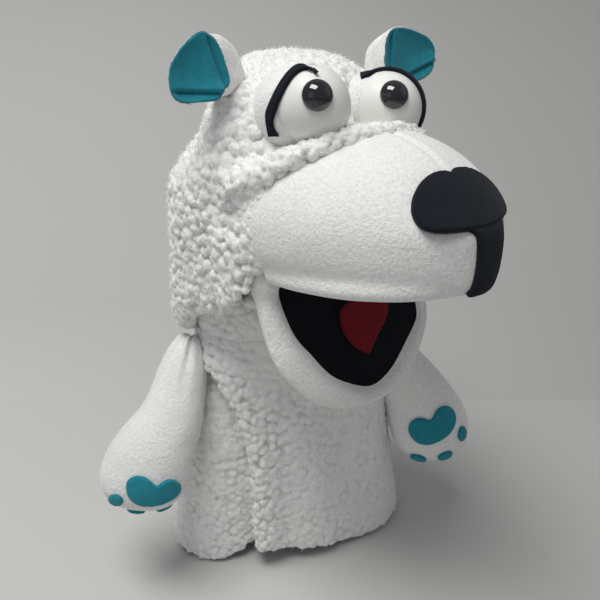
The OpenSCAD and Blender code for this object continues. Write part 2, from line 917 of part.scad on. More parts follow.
// The arm's fleece, with the small hole at the top that it is filled through
module arm_cover(side) {
    color("white") on_shoulder(side) one_mesh() difference() {
        arm(0);
        arm(-fleece_t);
        cylinder(h = 2 * shoulder_r, r = 2.5, $fn = 12);
    }
}

module arm_cover_right() { arm_cover(-1); }
module arm_cover_left() { arm_cover(1); }

module arm_filling(side) {
    color("lightyellow") on_shoulder(side) arm(-fleece_t - seam);
}

module arm_filling_right() { arm_filling(-1); }
module arm_filling_left() { arm_filling(1); }

// The layer of felt that lies on the palm, cut by an outline
module on_palm(side) {
    on_shoulder(side) one_mesh() intersection() {
        difference() {
            arm(pad_t + seam);
            arm(seam);
        }
        rotate([90, 0, 0]) linear_extrude(far) children();
    }
}

pad_z = -0.76 * arm_l;

module paw_pad(side) {
    lobe = 0.29 * pad_w;
    color("darkturquoise") on_palm(side) {
        for (x = [-1, 1]) hull() {
            translate([x * (pad_w / 2 - lobe), pad_z + 0.16 * pad_w]) circle(r = lobe, $fn = 24);
            translate([0, pad_z - 0.16 * pad_w]) circle(r = 0.22 * pad_w, $fn = 24);
        }
    }
}

module paw_pad_right() { paw_pad(-1); }
module paw_pad_left() { paw_pad(1); }

module toe_pads(side) {
    toe_r = 0.17 * pad_w;
    color("darkturquoise") on_palm(side) {
        for (turn = [-44, 0, 44])
            translate([0.68 * pad_w * sin(turn), pad_z + 0.02 * pad_w - 0.64 * pad_w * cos(turn)])
                circle(r = toe_r, $fn = 20);
    }
}

module toe_pads_right() { toe_pads(-1); }
module toe_pads_left() { toe_pads(1); }

// The gathered cloth where an arm is sewn to the sleeve's side, square to the side
module shoulder(side) {
    color("whitesmoke") translate([side * arm_pivot_x, -shoulder_ahead, arm_pivot_z])
        rotate([0, -side * (90 + side_lean), 0]) translate([0, 0, shoulder_r + slip]) cylinder(h = disc_t, r = disc_r);
}

module shoulder_right() { shoulder(-1); }
module shoulder_left() { shoulder(1); }

sleeve_front();
sleeve_back();
neck_cloth();
neck_ring();
head_foam();
head_cover();
muzzle_foam();
muzzle_cover();
upper_plate();
upper_lining();
finger_strap();
mouth_hinge();
lower_plate();
lower_lining();
tongue();
thumb_strap();
jaw_foam();
jaw_cover();
eye_mound_right();
eye_mound_left();
eyeball_right();
eyeball_left();
pupil_right();
pupil_left();
pupil_washer_right();
pupil_washer_left();
eye_rim_right();
eye_rim_left();
nose();
nose_strap();
ear_right();
ear_left();
ear_lining_right();
ear_lining_left();
shoulder_right();
shoulder_left();
arm_cover_right();
arm_cover_left();
arm_filling_right();
arm_filling_left();
paw_pad_right();
paw_pad_left();
toe_pads_right();
toe_pads_left();
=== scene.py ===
import json
import math

import bmesh
import bpy
import numpy as np
from mathutils import Matrix, Vector
from mathutils.bvhtree import BVHTree
from mathutils.geometry import delaunay_2d_cdt
from mathutils.kdtree import KDTree

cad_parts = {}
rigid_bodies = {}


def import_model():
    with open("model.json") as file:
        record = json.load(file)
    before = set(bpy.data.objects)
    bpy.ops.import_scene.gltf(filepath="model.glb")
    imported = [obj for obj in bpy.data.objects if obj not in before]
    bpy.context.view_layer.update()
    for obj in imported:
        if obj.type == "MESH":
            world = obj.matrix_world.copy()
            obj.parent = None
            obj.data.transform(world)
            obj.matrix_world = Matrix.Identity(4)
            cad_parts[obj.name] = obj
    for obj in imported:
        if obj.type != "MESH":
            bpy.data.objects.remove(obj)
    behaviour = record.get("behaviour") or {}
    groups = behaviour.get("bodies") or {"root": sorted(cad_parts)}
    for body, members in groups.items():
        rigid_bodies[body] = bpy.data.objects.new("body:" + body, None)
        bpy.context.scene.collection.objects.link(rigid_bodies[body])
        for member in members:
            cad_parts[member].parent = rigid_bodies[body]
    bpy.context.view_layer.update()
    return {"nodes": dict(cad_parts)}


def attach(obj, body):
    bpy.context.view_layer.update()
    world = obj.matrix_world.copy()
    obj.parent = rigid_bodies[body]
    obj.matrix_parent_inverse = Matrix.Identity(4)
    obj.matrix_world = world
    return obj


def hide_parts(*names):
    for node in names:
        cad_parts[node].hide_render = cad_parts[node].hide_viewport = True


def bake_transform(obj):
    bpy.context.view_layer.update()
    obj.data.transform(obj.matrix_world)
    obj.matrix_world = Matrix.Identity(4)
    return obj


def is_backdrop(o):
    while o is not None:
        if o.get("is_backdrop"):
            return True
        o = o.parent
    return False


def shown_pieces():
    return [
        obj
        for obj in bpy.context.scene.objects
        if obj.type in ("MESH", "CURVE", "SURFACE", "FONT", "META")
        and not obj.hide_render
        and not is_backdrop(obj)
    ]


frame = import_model()
nodes = frame["nodes"]

# ---- The camera and the places seen in the picture ----
# The puppet is seen from its right and a little from above. The places below are read from a 600 by 600
# picture. They settle the camera, lay trim on the surfaces in view, and tell how far each piece is off.
IMAGE_W = 600
IMAGE_H = 600
LENS_MM = 38.7
SENSOR_MM = 36.0
CAMERA_AT = Vector((-0.10635, -0.39101, 0.371))
CAMERA_TURN = math.radians(17)
CAMERA_DOWN = math.radians(24)
IMAGE_POINTS = {
    "object left": (97, None),
    "object right": (509, None),
    "object top": (None, 22),
    "object bottom": (None, 564),
    "pupil_right": (318, 93.5),
    "pupil_left": (395.5, 92.5),
    "ear_lining_right": (201, 68),
    "ear_lining_left": (410, 53),
    "nose": (458, 202),
    "nose_strap": (485, 262),
    "tongue": (364, 324),
    "paw_pad_right": (153.5, 488.5),
    "paw_pad_left": (432.5, 424),
    "eye_rim_right": (291.5, 101),
    "eye_rim_left": (391.5, 100),
}
# How far from the camera the nearest place is looked for when a sight line misses a surface
MISS_SEARCH = np.linspace(0.25, 0.65, 160)


def link(name, data):
    thing = bpy.data.objects.new(name, data)
    bpy.context.scene.collection.objects.link(thing)
    return thing


camera_data = bpy.data.cameras.new("camera")
camera_data.lens = LENS_MM
camera_data.sensor_width = SENSOR_MM
camera_data.sensor_fit = "AUTO"
camera_data.clip_start = 0.01
camera_data.clip_end = 20
camera = link("camera", camera_data)
camera.location = CAMERA_AT
camera.rotation_euler = (math.pi / 2 - CAMERA_DOWN, 0, -CAMERA_TURN)
bpy.context.scene.camera = camera
bpy.context.view_layer.update()
camera_axes = camera.matrix_world.to_3x3()


def sight_line(x, y):
    """The direction in which the camera sees a point of the picture."""
    side = max(IMAGE_W, IMAGE_H)
    along = Vector((x - IMAGE_W / 2, IMAGE_H / 2 - y, -side * LENS_MM / SENSOR_MM))
    return (camera_axes @ along).normalized()


def seen_on(surface, x, y):
    """Where a surface's tree is met at a point of the picture; a miss takes the nearest place."""
    along = sight_line(x, y)
    place = surface.ray_cast(CAMERA_AT, along)[0]
    if place is None:
        near = [surface.find_nearest(CAMERA_AT + along * float(d)) for d in MISS_SEARCH]
        place = min(near, key=lambda found: found[3])[0]
    return place


# ---- Tools for shapes ----
# Meshes are built from rings, rolls and flat outlines, joined by a voxel remesh and smoothed. The unevenness
# of cloth is noise worked out from whole-numbered cells, so that every run gives the same shapes.
MM = 0.001


def circle(steps):
    return np.linspace(0, 2 * math.pi, steps, endpoint=False)


def stacked(x, y, z):
    """Points from their coordinates, any of which may be one number for all."""
    return np.column_stack(np.broadcast_arrays(x, y, z))


def unit(v):
    return v / np.linalg.norm(v, axis=-1, keepdims=True)


def part(value, start, width):
    """How far a value has come from start over a width, from 0 to 1."""
    return np.clip((value - start) / width, 0, 1)


def eased(t):
    return t * t * (3 - 2 * t)


def bell(value, middle, width):
    return np.exp(-((value - middle) / width) ** 2)


def power(value, share):
    return np.sign(value) * abs(value) ** share


def read(values, key):
    out = np.empty(len(values) * 3)
    values.foreach_get(key, out)
    return out.reshape(-1, 3)


def points_of(mesh):
    return read(mesh.vertices, "co")


def normals_of(mesh):
    return read(mesh.vertex_normals, "vector")


def move_points(mesh, co):
    mesh.vertices.foreach_set("co", np.asarray(co, np.float32).ravel())
    mesh.update()


def mesh_of(co, faces):
    mesh = bpy.data.meshes.new("mesh")
    mesh.from_pydata([tuple(p) for p in co], [], faces)
    mesh.update()
    return mesh


def edited(mesh, work):
    """A mesh after work, which gets it as a bmesh."""
    bm = bmesh.new()
    bm.from_mesh(mesh)
    work(bm)
    bm.to_mesh(mesh)
    bm.free()
    return mesh


def faced_out(mesh):
    return edited(mesh, lambda bm: bmesh.ops.recalc_face_normals(bm, faces=bm.faces))


def with_transform(mesh, matrix):
    mesh.transform(matrix)
    mesh.update()
    return mesh


def baked(helper):
    """A helper object's mesh with its modifiers applied."""
    bpy.context.view_layer.update()
    done = bpy.data.meshes.new_from_object(helper.evaluated_get(bpy.context.evaluated_depsgraph_get()))
    bpy.data.objects.remove(helper)
    return done


def with_modifier(mesh, kind, **settings):
    """A copy of a mesh with one modifier applied."""
    helper = link("helper", mesh)
    step = helper.modifiers.new("step", kind)
    for key, value in settings.items():
        setattr(step, key, value)
    return baked(helper)


def remeshed(mesh, voxel):
    return with_modifier(mesh, "REMESH", mode="VOXEL", voxel_size=voxel)


def joined(*meshes):
    """One mesh of several."""
    def gather(bm):
        for mesh in meshes:
            bm.from_mesh(mesh)
        bmesh.ops.remove_doubles(bm, verts=bm.verts, dist=1e-6)
    return edited(bpy.data.meshes.new("joined"), gather)


def lofted(rings, capped=True):
    """A skin through rings of points, which run counter-clockwise seen from the last one."""
    n, m = len(rings[0]), len(rings)
    co = np.concatenate([np.asarray(r, float) for r in rings])
    faces = [(i * n + j, i * n + (j + 1) % n, (i + 1) * n + (j + 1) % n, (i + 1) * n + j)
             for i in range(m - 1) for j in range(n)]
    if capped:
        co = np.vstack([co, np.mean(rings[0], axis=0), np.mean(rings[-1], axis=0)])
        faces += [(n * m, (j + 1) % n, j) for j in range(n)]
        faces += [(n * m + 1, (m - 1) * n + j, (m - 1) * n + (j + 1) % n) for j in range(n)]
    return mesh_of(co, faces)


def tube(path, radii, sides=16):
    """A closed tube along a path, for a roll or a rounded edge."""
    path = np.asarray(path, float)
    turn = circle(sides)[:, None]
    rings = []
    along = unit(np.gradient(path, axis=0))
    side = np.cross(along[0], (0.3, 0.2, 0.93))
    for p, t, r in zip(path, along, np.broadcast_to(radii, len(path))):
        side = unit(side - t * (side @ t))
        rings.append(p + r * (np.cos(turn) * side + np.sin(turn) * np.cross(t, side)))
    return lofted(rings)


def between(a, b, c, d, t):
    """A smooth curve from b to c, with a before and d after them."""
    return 0.5 * (2 * b + (c - a) * t + (2 * a - 5 * b + 4 * c - d) * t ** 2
                  + (3 * b - a - 3 * c + d) * t ** 3)


def smooth_line(curve, count):
    """A smooth line drawn through points, with count points at even shares of its run."""
    p = np.asarray(curve, float)
    p = np.vstack([2 * p[0] - p[1], p, 2 * p[-1] - p[-2]])
    spans = len(p) - 3
    out = []
    for share in np.linspace(0, spans, count):
        i = min(int(share), spans - 1)
        out.append(between(*p[i:i + 4], share - i))
    return np.array(out)


def smooth_loop(outline, gap):
    """A closed line drawn smoothly through points, in steps of about gap."""
    p = np.asarray(outline, float)
    out = []
    for i in range(len(p)):
        a, b, c, d = p[i - 1], p[i], p[(i + 1) % len(p)], p[(i + 2) % len(p)]
        n = max(1, int(round(np.linalg.norm(c - b) / gap)))
        out += [between(a, b, c, d, t) for t in np.arange(n) / n]
    return np.array(out)


def softened(mesh, rounds):
    """Evens a mesh out, each point moving halfway to the mean of its neighbours."""
    ends = np.empty(len(mesh.edges) * 2, int)
    mesh.edges.foreach_get("vertices", ends)
    a, b = ends.reshape(-1, 2).T
    co = points_of(mesh)
    count = np.maximum(np.bincount(ends, minlength=len(co)), 1)[:, None]
    for _ in range(rounds):
        total = np.stack([np.bincount(a, co[b, k], len(co)) + np.bincount(b, co[a, k], len(co))
                          for k in range(3)], 1)
        co += (total / count - co) * 0.5
    move_points(mesh, co)
    return mesh


def chance(cells, seed):
    """Three even numbers from 0 to 1 for each whole-numbered cell, always the same ones."""
    c = cells.astype(np.int64)
    h = (c[:, 0] * 73856093) ^ (c[:, 1] * 19349663) ^ (c[:, 2] * 83492791) ^ (seed * 2654435761)
    out = []
    for mix in (1274126177, 2246822519, 3266489917):
        g = (h ^ (h >> 15)) * mix & 0xFFFFFFFF
        g = (g ^ (g >> 13)) * 668265263 & 0xFFFFFFFF
        out.append(((g ^ (g >> 16)) & 0xFFFFFF) / 0xFFFFFF)
    return np.stack(out, 1)


def slow_wave(co, size, seed):
    """Three smooth noises from -1 to 1 with features about as large as size."""
    p = co / size
    home = np.floor(p).astype(np.int64)
    f = eased(p - home)
    total = 0
    for corner in np.ndindex(2, 2, 2):
        share = np.prod(np.where(corner, f, 1 - f), axis=1)
        total = total + share[:, None] * chance(home + corner, seed)
    return total * 2 - 1


def uneven(mesh, depth, size, seed):
    """Pushes a mesh's points a little in and out."""
    co = points_of(mesh)
    move_points(mesh, co + normals_of(mesh) * (depth * slow_wave(co, size, seed)[:, :1]))
    return mesh


def opened(mesh, drop, thick):
    """Takes away the faces that drop names, and gives what is left a thickness inwards."""
    away = drop(read(mesh.polygons, "center"), read(mesh.polygons, "normal"))
    edited(mesh, lambda bm: bmesh.ops.delete(bm, geom=[f for f, gone in zip(bm.faces, away) if gone],
                                             context="FACES"))
    return with_modifier(mesh, "SOLIDIFY", thickness=thick, offset=-1)


def tree_of(co, mesh):
    """A tree for rays and nearest places, of a mesh with its points at co."""
    return BVHTree.FromPolygons([tuple(p) for p in co], [tuple(p.vertices) for p in mesh.polygons])


def new_piece(name, mesh, material, body=None, replaced=()):
    piece = link(name, mesh)
    mesh.name = name
    mesh.materials.clear()
    mesh.materials.append(material)
    mesh.polygons.foreach_set("use_smooth", [True] * len(mesh.polygons))
    mesh.polygons.foreach_set("material_index", [0] * len(mesh.polygons))
    if replaced:
        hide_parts(*replaced)
    if body:
        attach(piece, body)
    return piece


# The head is turned on the neck, the muzzle is tipped up at the fold of the mouth, and the lower jaw hangs
# open from there.
HEAD = Matrix.Rotation(math.radians(18), 4, "Z")
HINGE = Vector((0, -0.058, 0.239))
JAW_OPEN = 70


def about_hinge(degrees):
    return (Matrix.Translation(HINGE) @ Matrix.Rotation(math.radians(degrees), 4, "X")
            @ Matrix.Translation(-HINGE))


FACE = HEAD @ Matrix.Rotation(math.radians(3.5), 4, "Z") @ about_hinge(-5.4)
JAW = FACE @ about_hinge(JAW_OPEN)


def in_frame(matrix, co):
    """Points brought into a frame's own coordinates."""
    back = np.array(matrix.inverted())
    return co @ back[:3, :3].T + back[:3, 3]


def out_of(matrix, co):
    """Points of a frame's own coordinates brought out of it."""
    turn = np.array(matrix)
    return np.asarray(co, float) @ turn[:3, :3].T + turn[:3, 3]


# ---- Tools for materials ----
# Every finish is a tree of shader nodes over the piece's own coordinates in metres, without any picture. The
# same class lays the geometry nodes of the pile's wisps.
class Wire:
    """A node's output, on which Python's operators add Math nodes."""

    def __init__(self, tree, socket):
        self.tree = tree
        self.socket = socket

    def worked(self, operation, number):
        node = self.tree.nodes.new("ShaderNodeMath")
        node.operation = operation
        self.tree.links.new(self.socket, node.inputs[0])
        node.inputs[1].default_value = number
        return Wire(self.tree, node.outputs[0])

    def __add__(self, number):
        return self.worked("ADD", number)

    def __mul__(self, number):
        return self.worked("MULTIPLY", number)

    def other(self, name):
        """Another output of the same node."""
        return Wire(self.tree, self.socket.node.outputs[name])


class Graph:
    """A node tree under construction. Its node method makes any node, sets it, and then fills its sockets."""

    def __init__(self, tree):
        self.tree = tree

    def fill(self, socket, value):
        if isinstance(value, Wire):
            self.tree.links.new(value.socket, socket)
        else:
            socket.default_value = (*value, 1) if socket.type == "RGBA" else value

    def node(self, kind, settings=None, out=0, **sockets):
        node = self.tree.nodes.new(kind)
        for key, value in (settings or {}).items():
            setattr(node, key, value)
        for key, value in sockets.items():
            self.fill(node.inputs[int(key[1:]) if key[1:].isdigit() else key.replace("_", " ")], value)
        return Wire(self.tree, node.outputs[out]) if node.outputs else None


class Finish(Graph):
    """A material under construction."""

    def __init__(self, name):
        self.material = bpy.data.materials.new(name)
        self.material.use_nodes = True
        super().__init__(self.material.node_tree)

    def set(self, **sockets):
        for key, value in sockets.items():
            self.fill(self.tree.nodes["Principled BSDF"].inputs[key.replace("_", " ")], value)
        return self.material

    def place(self):
        return self.node("ShaderNodeTexCoord", out=3)

    def axis(self, which):
        return self.node("ShaderNodeSeparateXYZ", out=which, Vector=self.place())

    def noise(self, at, scale, detail=2.0, roughness=0.5, distortion=0.0):
        return self.node("ShaderNodeTexNoise", Vector=at, Scale=scale, Detail=detail, Roughness=roughness,
                         Distortion=distortion)

    def blend(self, factor, first, second):
        return self.node("ShaderNodeMix", {"data_type": "RGBA"}, out=2, i0=factor, i6=first, i7=second)

    def ramp(self, factor, *stops):
        made = self.node("ShaderNodeValToRGB", Fac=factor)
        elements = made.socket.node.color_ramp.elements
        while len(elements) < len(stops):
            elements.new(0.5)
        for element, (place, color) in zip(elements, stops):
            element.position = place
            element.color = (*color, 1)
        return made

    def share(self, factor, low, high):
        return self.ramp(factor, (low, (0, 0, 0)), (high, (1, 1, 1)))

    def bump(self, height, distance, strength, **below):
        return self.node("ShaderNodeBump", Height=height, Distance=distance, Strength=strength, **below)


# ---- The studio ----
# A pale table top in front of a plain grey backdrop that leans back, a large soft lamp overhead, and weaker
# ones at both sides. Painted shade darkens the table and the backdrop towards the picture's right.
TABLE_COLOR = (0.66, 0.66, 0.64)
WALL_COLOR = (0.57, 0.57, 0.556)
WALL_AWAY = 0.575
# Where the painted shade across the table and the backdrop starts and ends
PAINTED_SHADE_SHIFT = 0.55
PAINTED_SHADE_SPAN = (0.1, 0.95)
LAMP_AIM = Vector((0, 0, 0.2))
across = Vector((math.cos(CAMERA_TURN), -math.sin(CAMERA_TURN), 0))
ahead = Vector((math.sin(CAMERA_TURN), math.cos(CAMERA_TURN), 0))
foot = Vector((CAMERA_AT.x, CAMERA_AT.y, 0)) + ahead * WALL_AWAY


def studio_sheet(name, side, away, finish, color):
    """A plane that starts at the line where the table and the backdrop meet."""
    corners = [foot - side, foot - side + away, foot + side + away, foot + side]
    sheet = link(name, mesh_of(corners, [(0, 1, 2, 3)]))
    sheet.data.materials.append(finish.set(Base_Color=color, Roughness=0.8, Specular_IOR_Level=0.15))
    sheet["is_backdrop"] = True


table_paint = Finish("table paint")
# The table's colour holds painted shade, darker towards the picture's right.
studio_sheet("table_top", across * 5, ahead * -6, table_paint,
             table_paint.ramp(table_paint.axis(0) + PAINTED_SHADE_SHIFT, (PAINTED_SHADE_SPAN[0], TABLE_COLOR),
                              (PAINTED_SHADE_SPAN[1], tuple(0.74 * c for c in TABLE_COLOR))))
wall_paint = Finish("wall paint")
# The backdrop's colour holds painted shade, darker towards the picture's right.
studio_sheet("back_wall", across * -5, ahead * 4.2 + Vector((0, 0, 3)), wall_paint,
             wall_paint.blend(wall_paint.share(wall_paint.axis(0) + PAINTED_SHADE_SHIFT, *PAINTED_SHADE_SPAN),
                              wall_paint.ramp(wall_paint.axis(2) * 10, (0.0, TABLE_COLOR), (0.7, WALL_COLOR)),
                              tuple(0.78 * c for c in WALL_COLOR)))


def soft_lamp(name, at, width, height, power, color):
    lamp_data = bpy.data.lights.new(name, "AREA")
    lamp_data.shape = "RECTANGLE"
    lamp_data.size = width
    lamp_data.size_y = height
    lamp_data.energy = power
    lamp_data.color = color
    lamp = link(name, lamp_data)
    lamp.location = at
    lamp.rotation_euler = (LAMP_AIM - Vector(at)).to_track_quat("-Z", "Y").to_euler()


soft_lamp("lamp overhead", (-0.36, -0.22, 1.37), 0.8, 0.5, 12.8, (1, 0.99, 0.97))
soft_lamp("lamp left", (1.2, -0.5, 1.0), 0.9, 0.9, 0.4, (1, 0.985, 0.96))
soft_lamp("lamp right", (-1.2, -0.9, 0.8), 0.9, 0.9, 0.8, (0.96, 0.98, 1))

world = bpy.data.worlds.new("room")
bpy.context.scene.world = world
world.use_nodes = True
background = world.node_tree.nodes["Background"]
background.inputs["Color"].default_value = (0.94, 0.96, 1, 1)
background.inputs["Strength"].default_value = 0.27
bpy.context.scene.view_settings.view_transform = "Standard"

# ---- The hood: curly pile cloth ----
# Knitted cloth with a thick white pile that curls up in soft lumps, cut and sewn into a hood over the foam
# head. The lumps sit where a scatter of points over the cloth puts them, and loose wisps stand between them.
PILE_LUMP = 0.0061
PILE_HEIGHT = 0.0042
WISPS_PER_M2 = 260000.0
BLOCK_VOXEL = 0.003
HOOD_VOXEL = 0.0022
ROLL_R = 0.0062
FILL_R = 0.0090
HEAD_MIDDLE = (0, -0.008, 0.275)


def finer(mesh, pick):
    """Splits the faces that pick names, once each way."""
    def split(bm):
        edges = {e for f, chosen in zip(bm.faces, pick) if chosen for e in f.edges}
        bmesh.ops.subdivide_edges(bm, edges=list(edges), cuts=1, use_grid_fill=True)
    edited(mesh, split)


def scattered(co, gap, seed):
    """Points picked from co, none nearer to another than gap."""
    taken = {}
    kept = []
    cells = [tuple(c) for c in np.floor(co / gap).astype(int)]
    near = [(i, j, k) for i in (-1, 0, 1) for j in (-1, 0, 1) for k in (-1, 0, 1)]
    for i in np.random.default_rng(seed).permutation(len(co)):
        a, b, c = cells[i]
        x, y, z = co[i]
        free = all((x - q[0]) ** 2 + (y - q[1]) ** 2 + (z - q[2]) ** 2 >= gap * gap
                   for i, j, k in near for q in taken.get((a + i, b + j, c + k), ()))
        if free:
            taken.setdefault((a, b, c), []).append((x, y, z))
            kept.append((x, y, z))
    return np.array(kept)


def domes(co, centres, reach, seed):
    """The height, from 0 to about 1, of round lumps of uneven size on the centres."""
    tree = KDTree(len(centres))
    for i, c in enumerate(centres):
        tree.insert(c, i)
    tree.balance()
    rng = np.random.default_rng(seed)
    radius = reach * rng.uniform(0.82, 1.22, len(centres))
    tall = rng.uniform(0.72, 1.08, len(centres))
    out = np.zeros(len(co))
    for n, p in enumerate(co):
        best = 0.0
        for _, i, d in tree.find_n(p, 3):
            s = 1 - (d / radius[i]) ** 2
            if s > 0:
                best = max(best, math.sqrt(s) * tall[i])
        out[n] = best
    return out


def curly(mesh, outward, strength, seed):
    """Raises the pile's lumps on the side that faces outward; strength gives their height from the points."""
    finer(mesh, outward(read(mesh.polygons, "center"), read(mesh.polygons, "normal")) > -0.25)
    co = points_of(mesh)
    normal = normals_of(mesh)
    shown = np.clip(outward(co, normal) * 2.5 + 0.9, 0, 1)
    warped = co + slow_wave(co, 0.007, seed) * 0.0012 + slow_wave(co, 0.028, seed + 1) * 0.002
    outer = warped[shown > 0.2]
    big = domes(warped, scattered(outer, PILE_LUMP * 0.84, seed), PILE_LUMP * 0.66, seed + 2)
    small = domes(warped, scattered(outer, PILE_LUMP * 0.42, seed + 3), PILE_LUMP * 0.34, seed + 4)
    force = strength(co)
    pile = 0.8 * big + 0.24 * small
    move_points(mesh, co + normal * (shown * force * PILE_HEIGHT * (pile - 0.62))[:, None])
    # How high each point stands among the lumps, which the pile's material turns into painted shade between
    # them
    depth = 1 - (1 - np.clip(pile * 1.05, 0, 1)) * shown * np.clip(force, 0, 1)
    for key, value in (("pile_shade_depth", depth), ("pile_side", shown)):
        mesh.attributes.new(key, "FLOAT", "POINT").data.foreach_set("value", value.astype(np.float32))
    return mesh


# Fibres over the lumps, with painted shade that makes them a little darker and warmer down between them
cloth = Finish("curly pile")
at = cloth.place()
depth = cloth.node("ShaderNodeAttribute", {"attribute_name": "pile_shade_depth"}, out=2)
shade = cloth.ramp(depth, (0.0, (0.66, 0.65, 0.625)), (0.4, (0.84, 0.835, 0.815)),
                   (0.95, (0.93, 0.928, 0.92)))
curls = cloth.bump(cloth.noise(at, 750, 3, 0.6, 1.2), 0.0013, 0.6)
curly_pile = cloth.set(Base_Color=cloth.blend(cloth.noise(at, 22, 2) * 0.3, shade, (0.85, 0.835, 0.80)),
                       Roughness=0.95, Specular_IOR_Level=0.1, Sheen_Weight=0.3, Sheen_Roughness=0.6,
                       Subsurface_Weight=0.15, Subsurface_Radius=(1, 0.9, 0.8), Subsurface_Scale=0.003,
                       Normal=cloth.bump(cloth.noise(at, 2200, 2, 0.6), 0.0005, 0.4, Normal=curls))


def strand_mesh():
    """One curled wisp of pile, a narrow ribbon 2 mm long."""
    co, faces = [], []
    for i, (x, y, z) in enumerate([(0, 0, 0), (0.3, 0.2, 0.7), (0.1, 0.6, 1.3), (-0.6, 0.5, 1.7)]):
        half = 0.16 * (1 - 0.18 * i)
        dx, dy = half * math.cos(0.5 * i), half * math.sin(0.5 * i)
        co += [(x - dx, y - dy, z), (x + dx, y + dy, z)]
        if i:
            faces.append((2 * i - 2, 2 * i - 1, 2 * i + 1, 2 * i))
    return mesh_of(np.array(co) * MM, faces)


def wisp_tree(strand, material):
    """Geometry nodes that stand wisps all over a pile cloth's outer side, and their two inputs."""
    tree = bpy.data.node_groups.new("wisps", "GeometryNodeTree")
    sockets = [tree.interface.new_socket(name, in_out=way, socket_type="NodeSocket" + kind)
               for name, way, kind in (("Geometry", "INPUT", "Geometry"), ("Density", "INPUT", "Float"),
                                       ("Seed", "INPUT", "Int"), ("Geometry", "OUTPUT", "Geometry"))]
    graph = Graph(tree)
    cloth = graph.node("NodeGroupInput")
    seed = cloth.other("Seed")
    side = graph.node("GeometryNodeInputNamedAttribute", {"data_type": "FLOAT"}, "Attribute",
                      Name="pile_side")
    outer = graph.node("FunctionNodeCompare", {"data_type": "FLOAT", "operation": "GREATER_THAN"}, A=side,
                       B=0.6)
    spread = graph.node("GeometryNodeDistributePointsOnFaces", {"distribute_method": "RANDOM"}, Mesh=cloth,
                        Selection=outer, Density=cloth.other("Density"), Seed=seed)
    tilt = graph.node("FunctionNodeRandomValue", {"data_type": "FLOAT_VECTOR"}, Min=(-1.1, -1.1, -3.14),
                      Max=(1.1, 1.1, 3.14), Seed=seed)
    turned = graph.node("FunctionNodeRotateRotation", {"rotation_space": "LOCAL"},
                        Rotation=spread.other("Rotation"), Rotate_By=tilt)
    size = graph.node("FunctionNodeRandomValue", {"data_type": "FLOAT"}, 1, i2=0.5, i3=1.25, Seed=seed)
    source = graph.node("GeometryNodeObjectInfo", {"transform_space": "ORIGINAL"}, "Geometry", Object=strand)
    stand = graph.node("GeometryNodeInstanceOnPoints", Points=spread, Instance=source, Rotation=turned,
                       Scale=size)
    real = graph.node("GeometryNodeRealizeInstances", Geometry=stand)
    painted = graph.node("GeometryNodeSetMaterial", Geometry=real, Material=material)
    graph.node("NodeGroupOutput", Geometry=painted)
    return tree, sockets[1].identifier, sockets[2].identifier


wisp = Finish("pile wisps")
wisp_white = wisp.set(Base_Color=wisp.blend(wisp.noise(wisp.place(), 40, 2), (0.92, 0.915, 0.905),
                                            (0.86, 0.85, 0.83)),
                      Roughness=0.9, Specular_IOR_Level=0.1, Sheen_Weight=0.3)
strand = link("strand", strand_mesh())
wisp_nodes, wisp_density, wisp_seed = wisp_tree(strand, wisp_white)


def wisps(name, ground, seed, body):
    """Wisps of pile over a cloth, as a piece of their own."""
    helper = link("helper", ground.data.copy())
    grow = helper.modifiers.new("wisps", "NODES")
    grow.node_group = wisp_nodes
    grow[wisp_density] = WISPS_PER_M2
    grow[wisp_seed] = seed
    new_piece(name, baked(helper), wisp_white, body)


def off_head(co, normal):
    """How far each point's normal looks away from the middle of the head."""
    away = in_frame(HEAD, co) - HEAD_MIDDLE
    away[:, 2] *= 0.55
    return (unit(away) @ np.array(HEAD)[:3, :3].T * normal).sum(1)


def head_strength(co):
    """The pile stands lower on the head's top and front."""
    p = in_frame(HEAD, co)
    flat = np.maximum(part(p[:, 2], 0.285, 0.045), 0.4 * part(p[:, 1], -0.035, -0.03))
    return 1.12 - 0.42 * flat + 0.14 * slow_wave(co, 0.04, 9)[:, 0]


def hood_edge(y):
    """How high the hood's lower edge lies in the head, from its back to the corner of the mouth."""
    return np.interp(y, (-0.062, -0.050, -0.036, -0.010, 0.004, 0.020, 0.040),
                     (0.234, 0.222, 0.214, 0.209, 0.198, 0.182, 0.178))


def hood_shape(co):
    """Draws the head in at the upper back and out at the lower back, and lifts the front's lower edge."""
    p = in_frame(HEAD, co)
    right = 0.25 + 0.75 * eased(part(p[:, 0], 0.030, -0.075))
    high = eased(part(p[:, 2], 0.274, 0.040))
    low = part(p[:, 2], 0.245, -0.055)
    scale = 1 - part(p[:, 1], -0.028, 0.036) * right * (0.27 * high - 0.075 * low)
    p[:, 0] *= scale
    p[:, 1] = -0.008 + (p[:, 1] + 0.008) * np.where(p[:, 1] > -0.008, scale, 1)
    edge = hood_edge(p[:, 1])
    p[:, 2] = np.where(p[:, 2] < edge, edge + (p[:, 2] - edge) * 0.12, p[:, 2])
    return out_of(HEAD, p)


def reshaped(node):
    """A node's solid, remeshed and drawn to the hood's shape."""
    mesh = remeshed(nodes[node].data, BLOCK_VOXEL)
    move_points(mesh, hood_shape(points_of(mesh)))
    return mesh


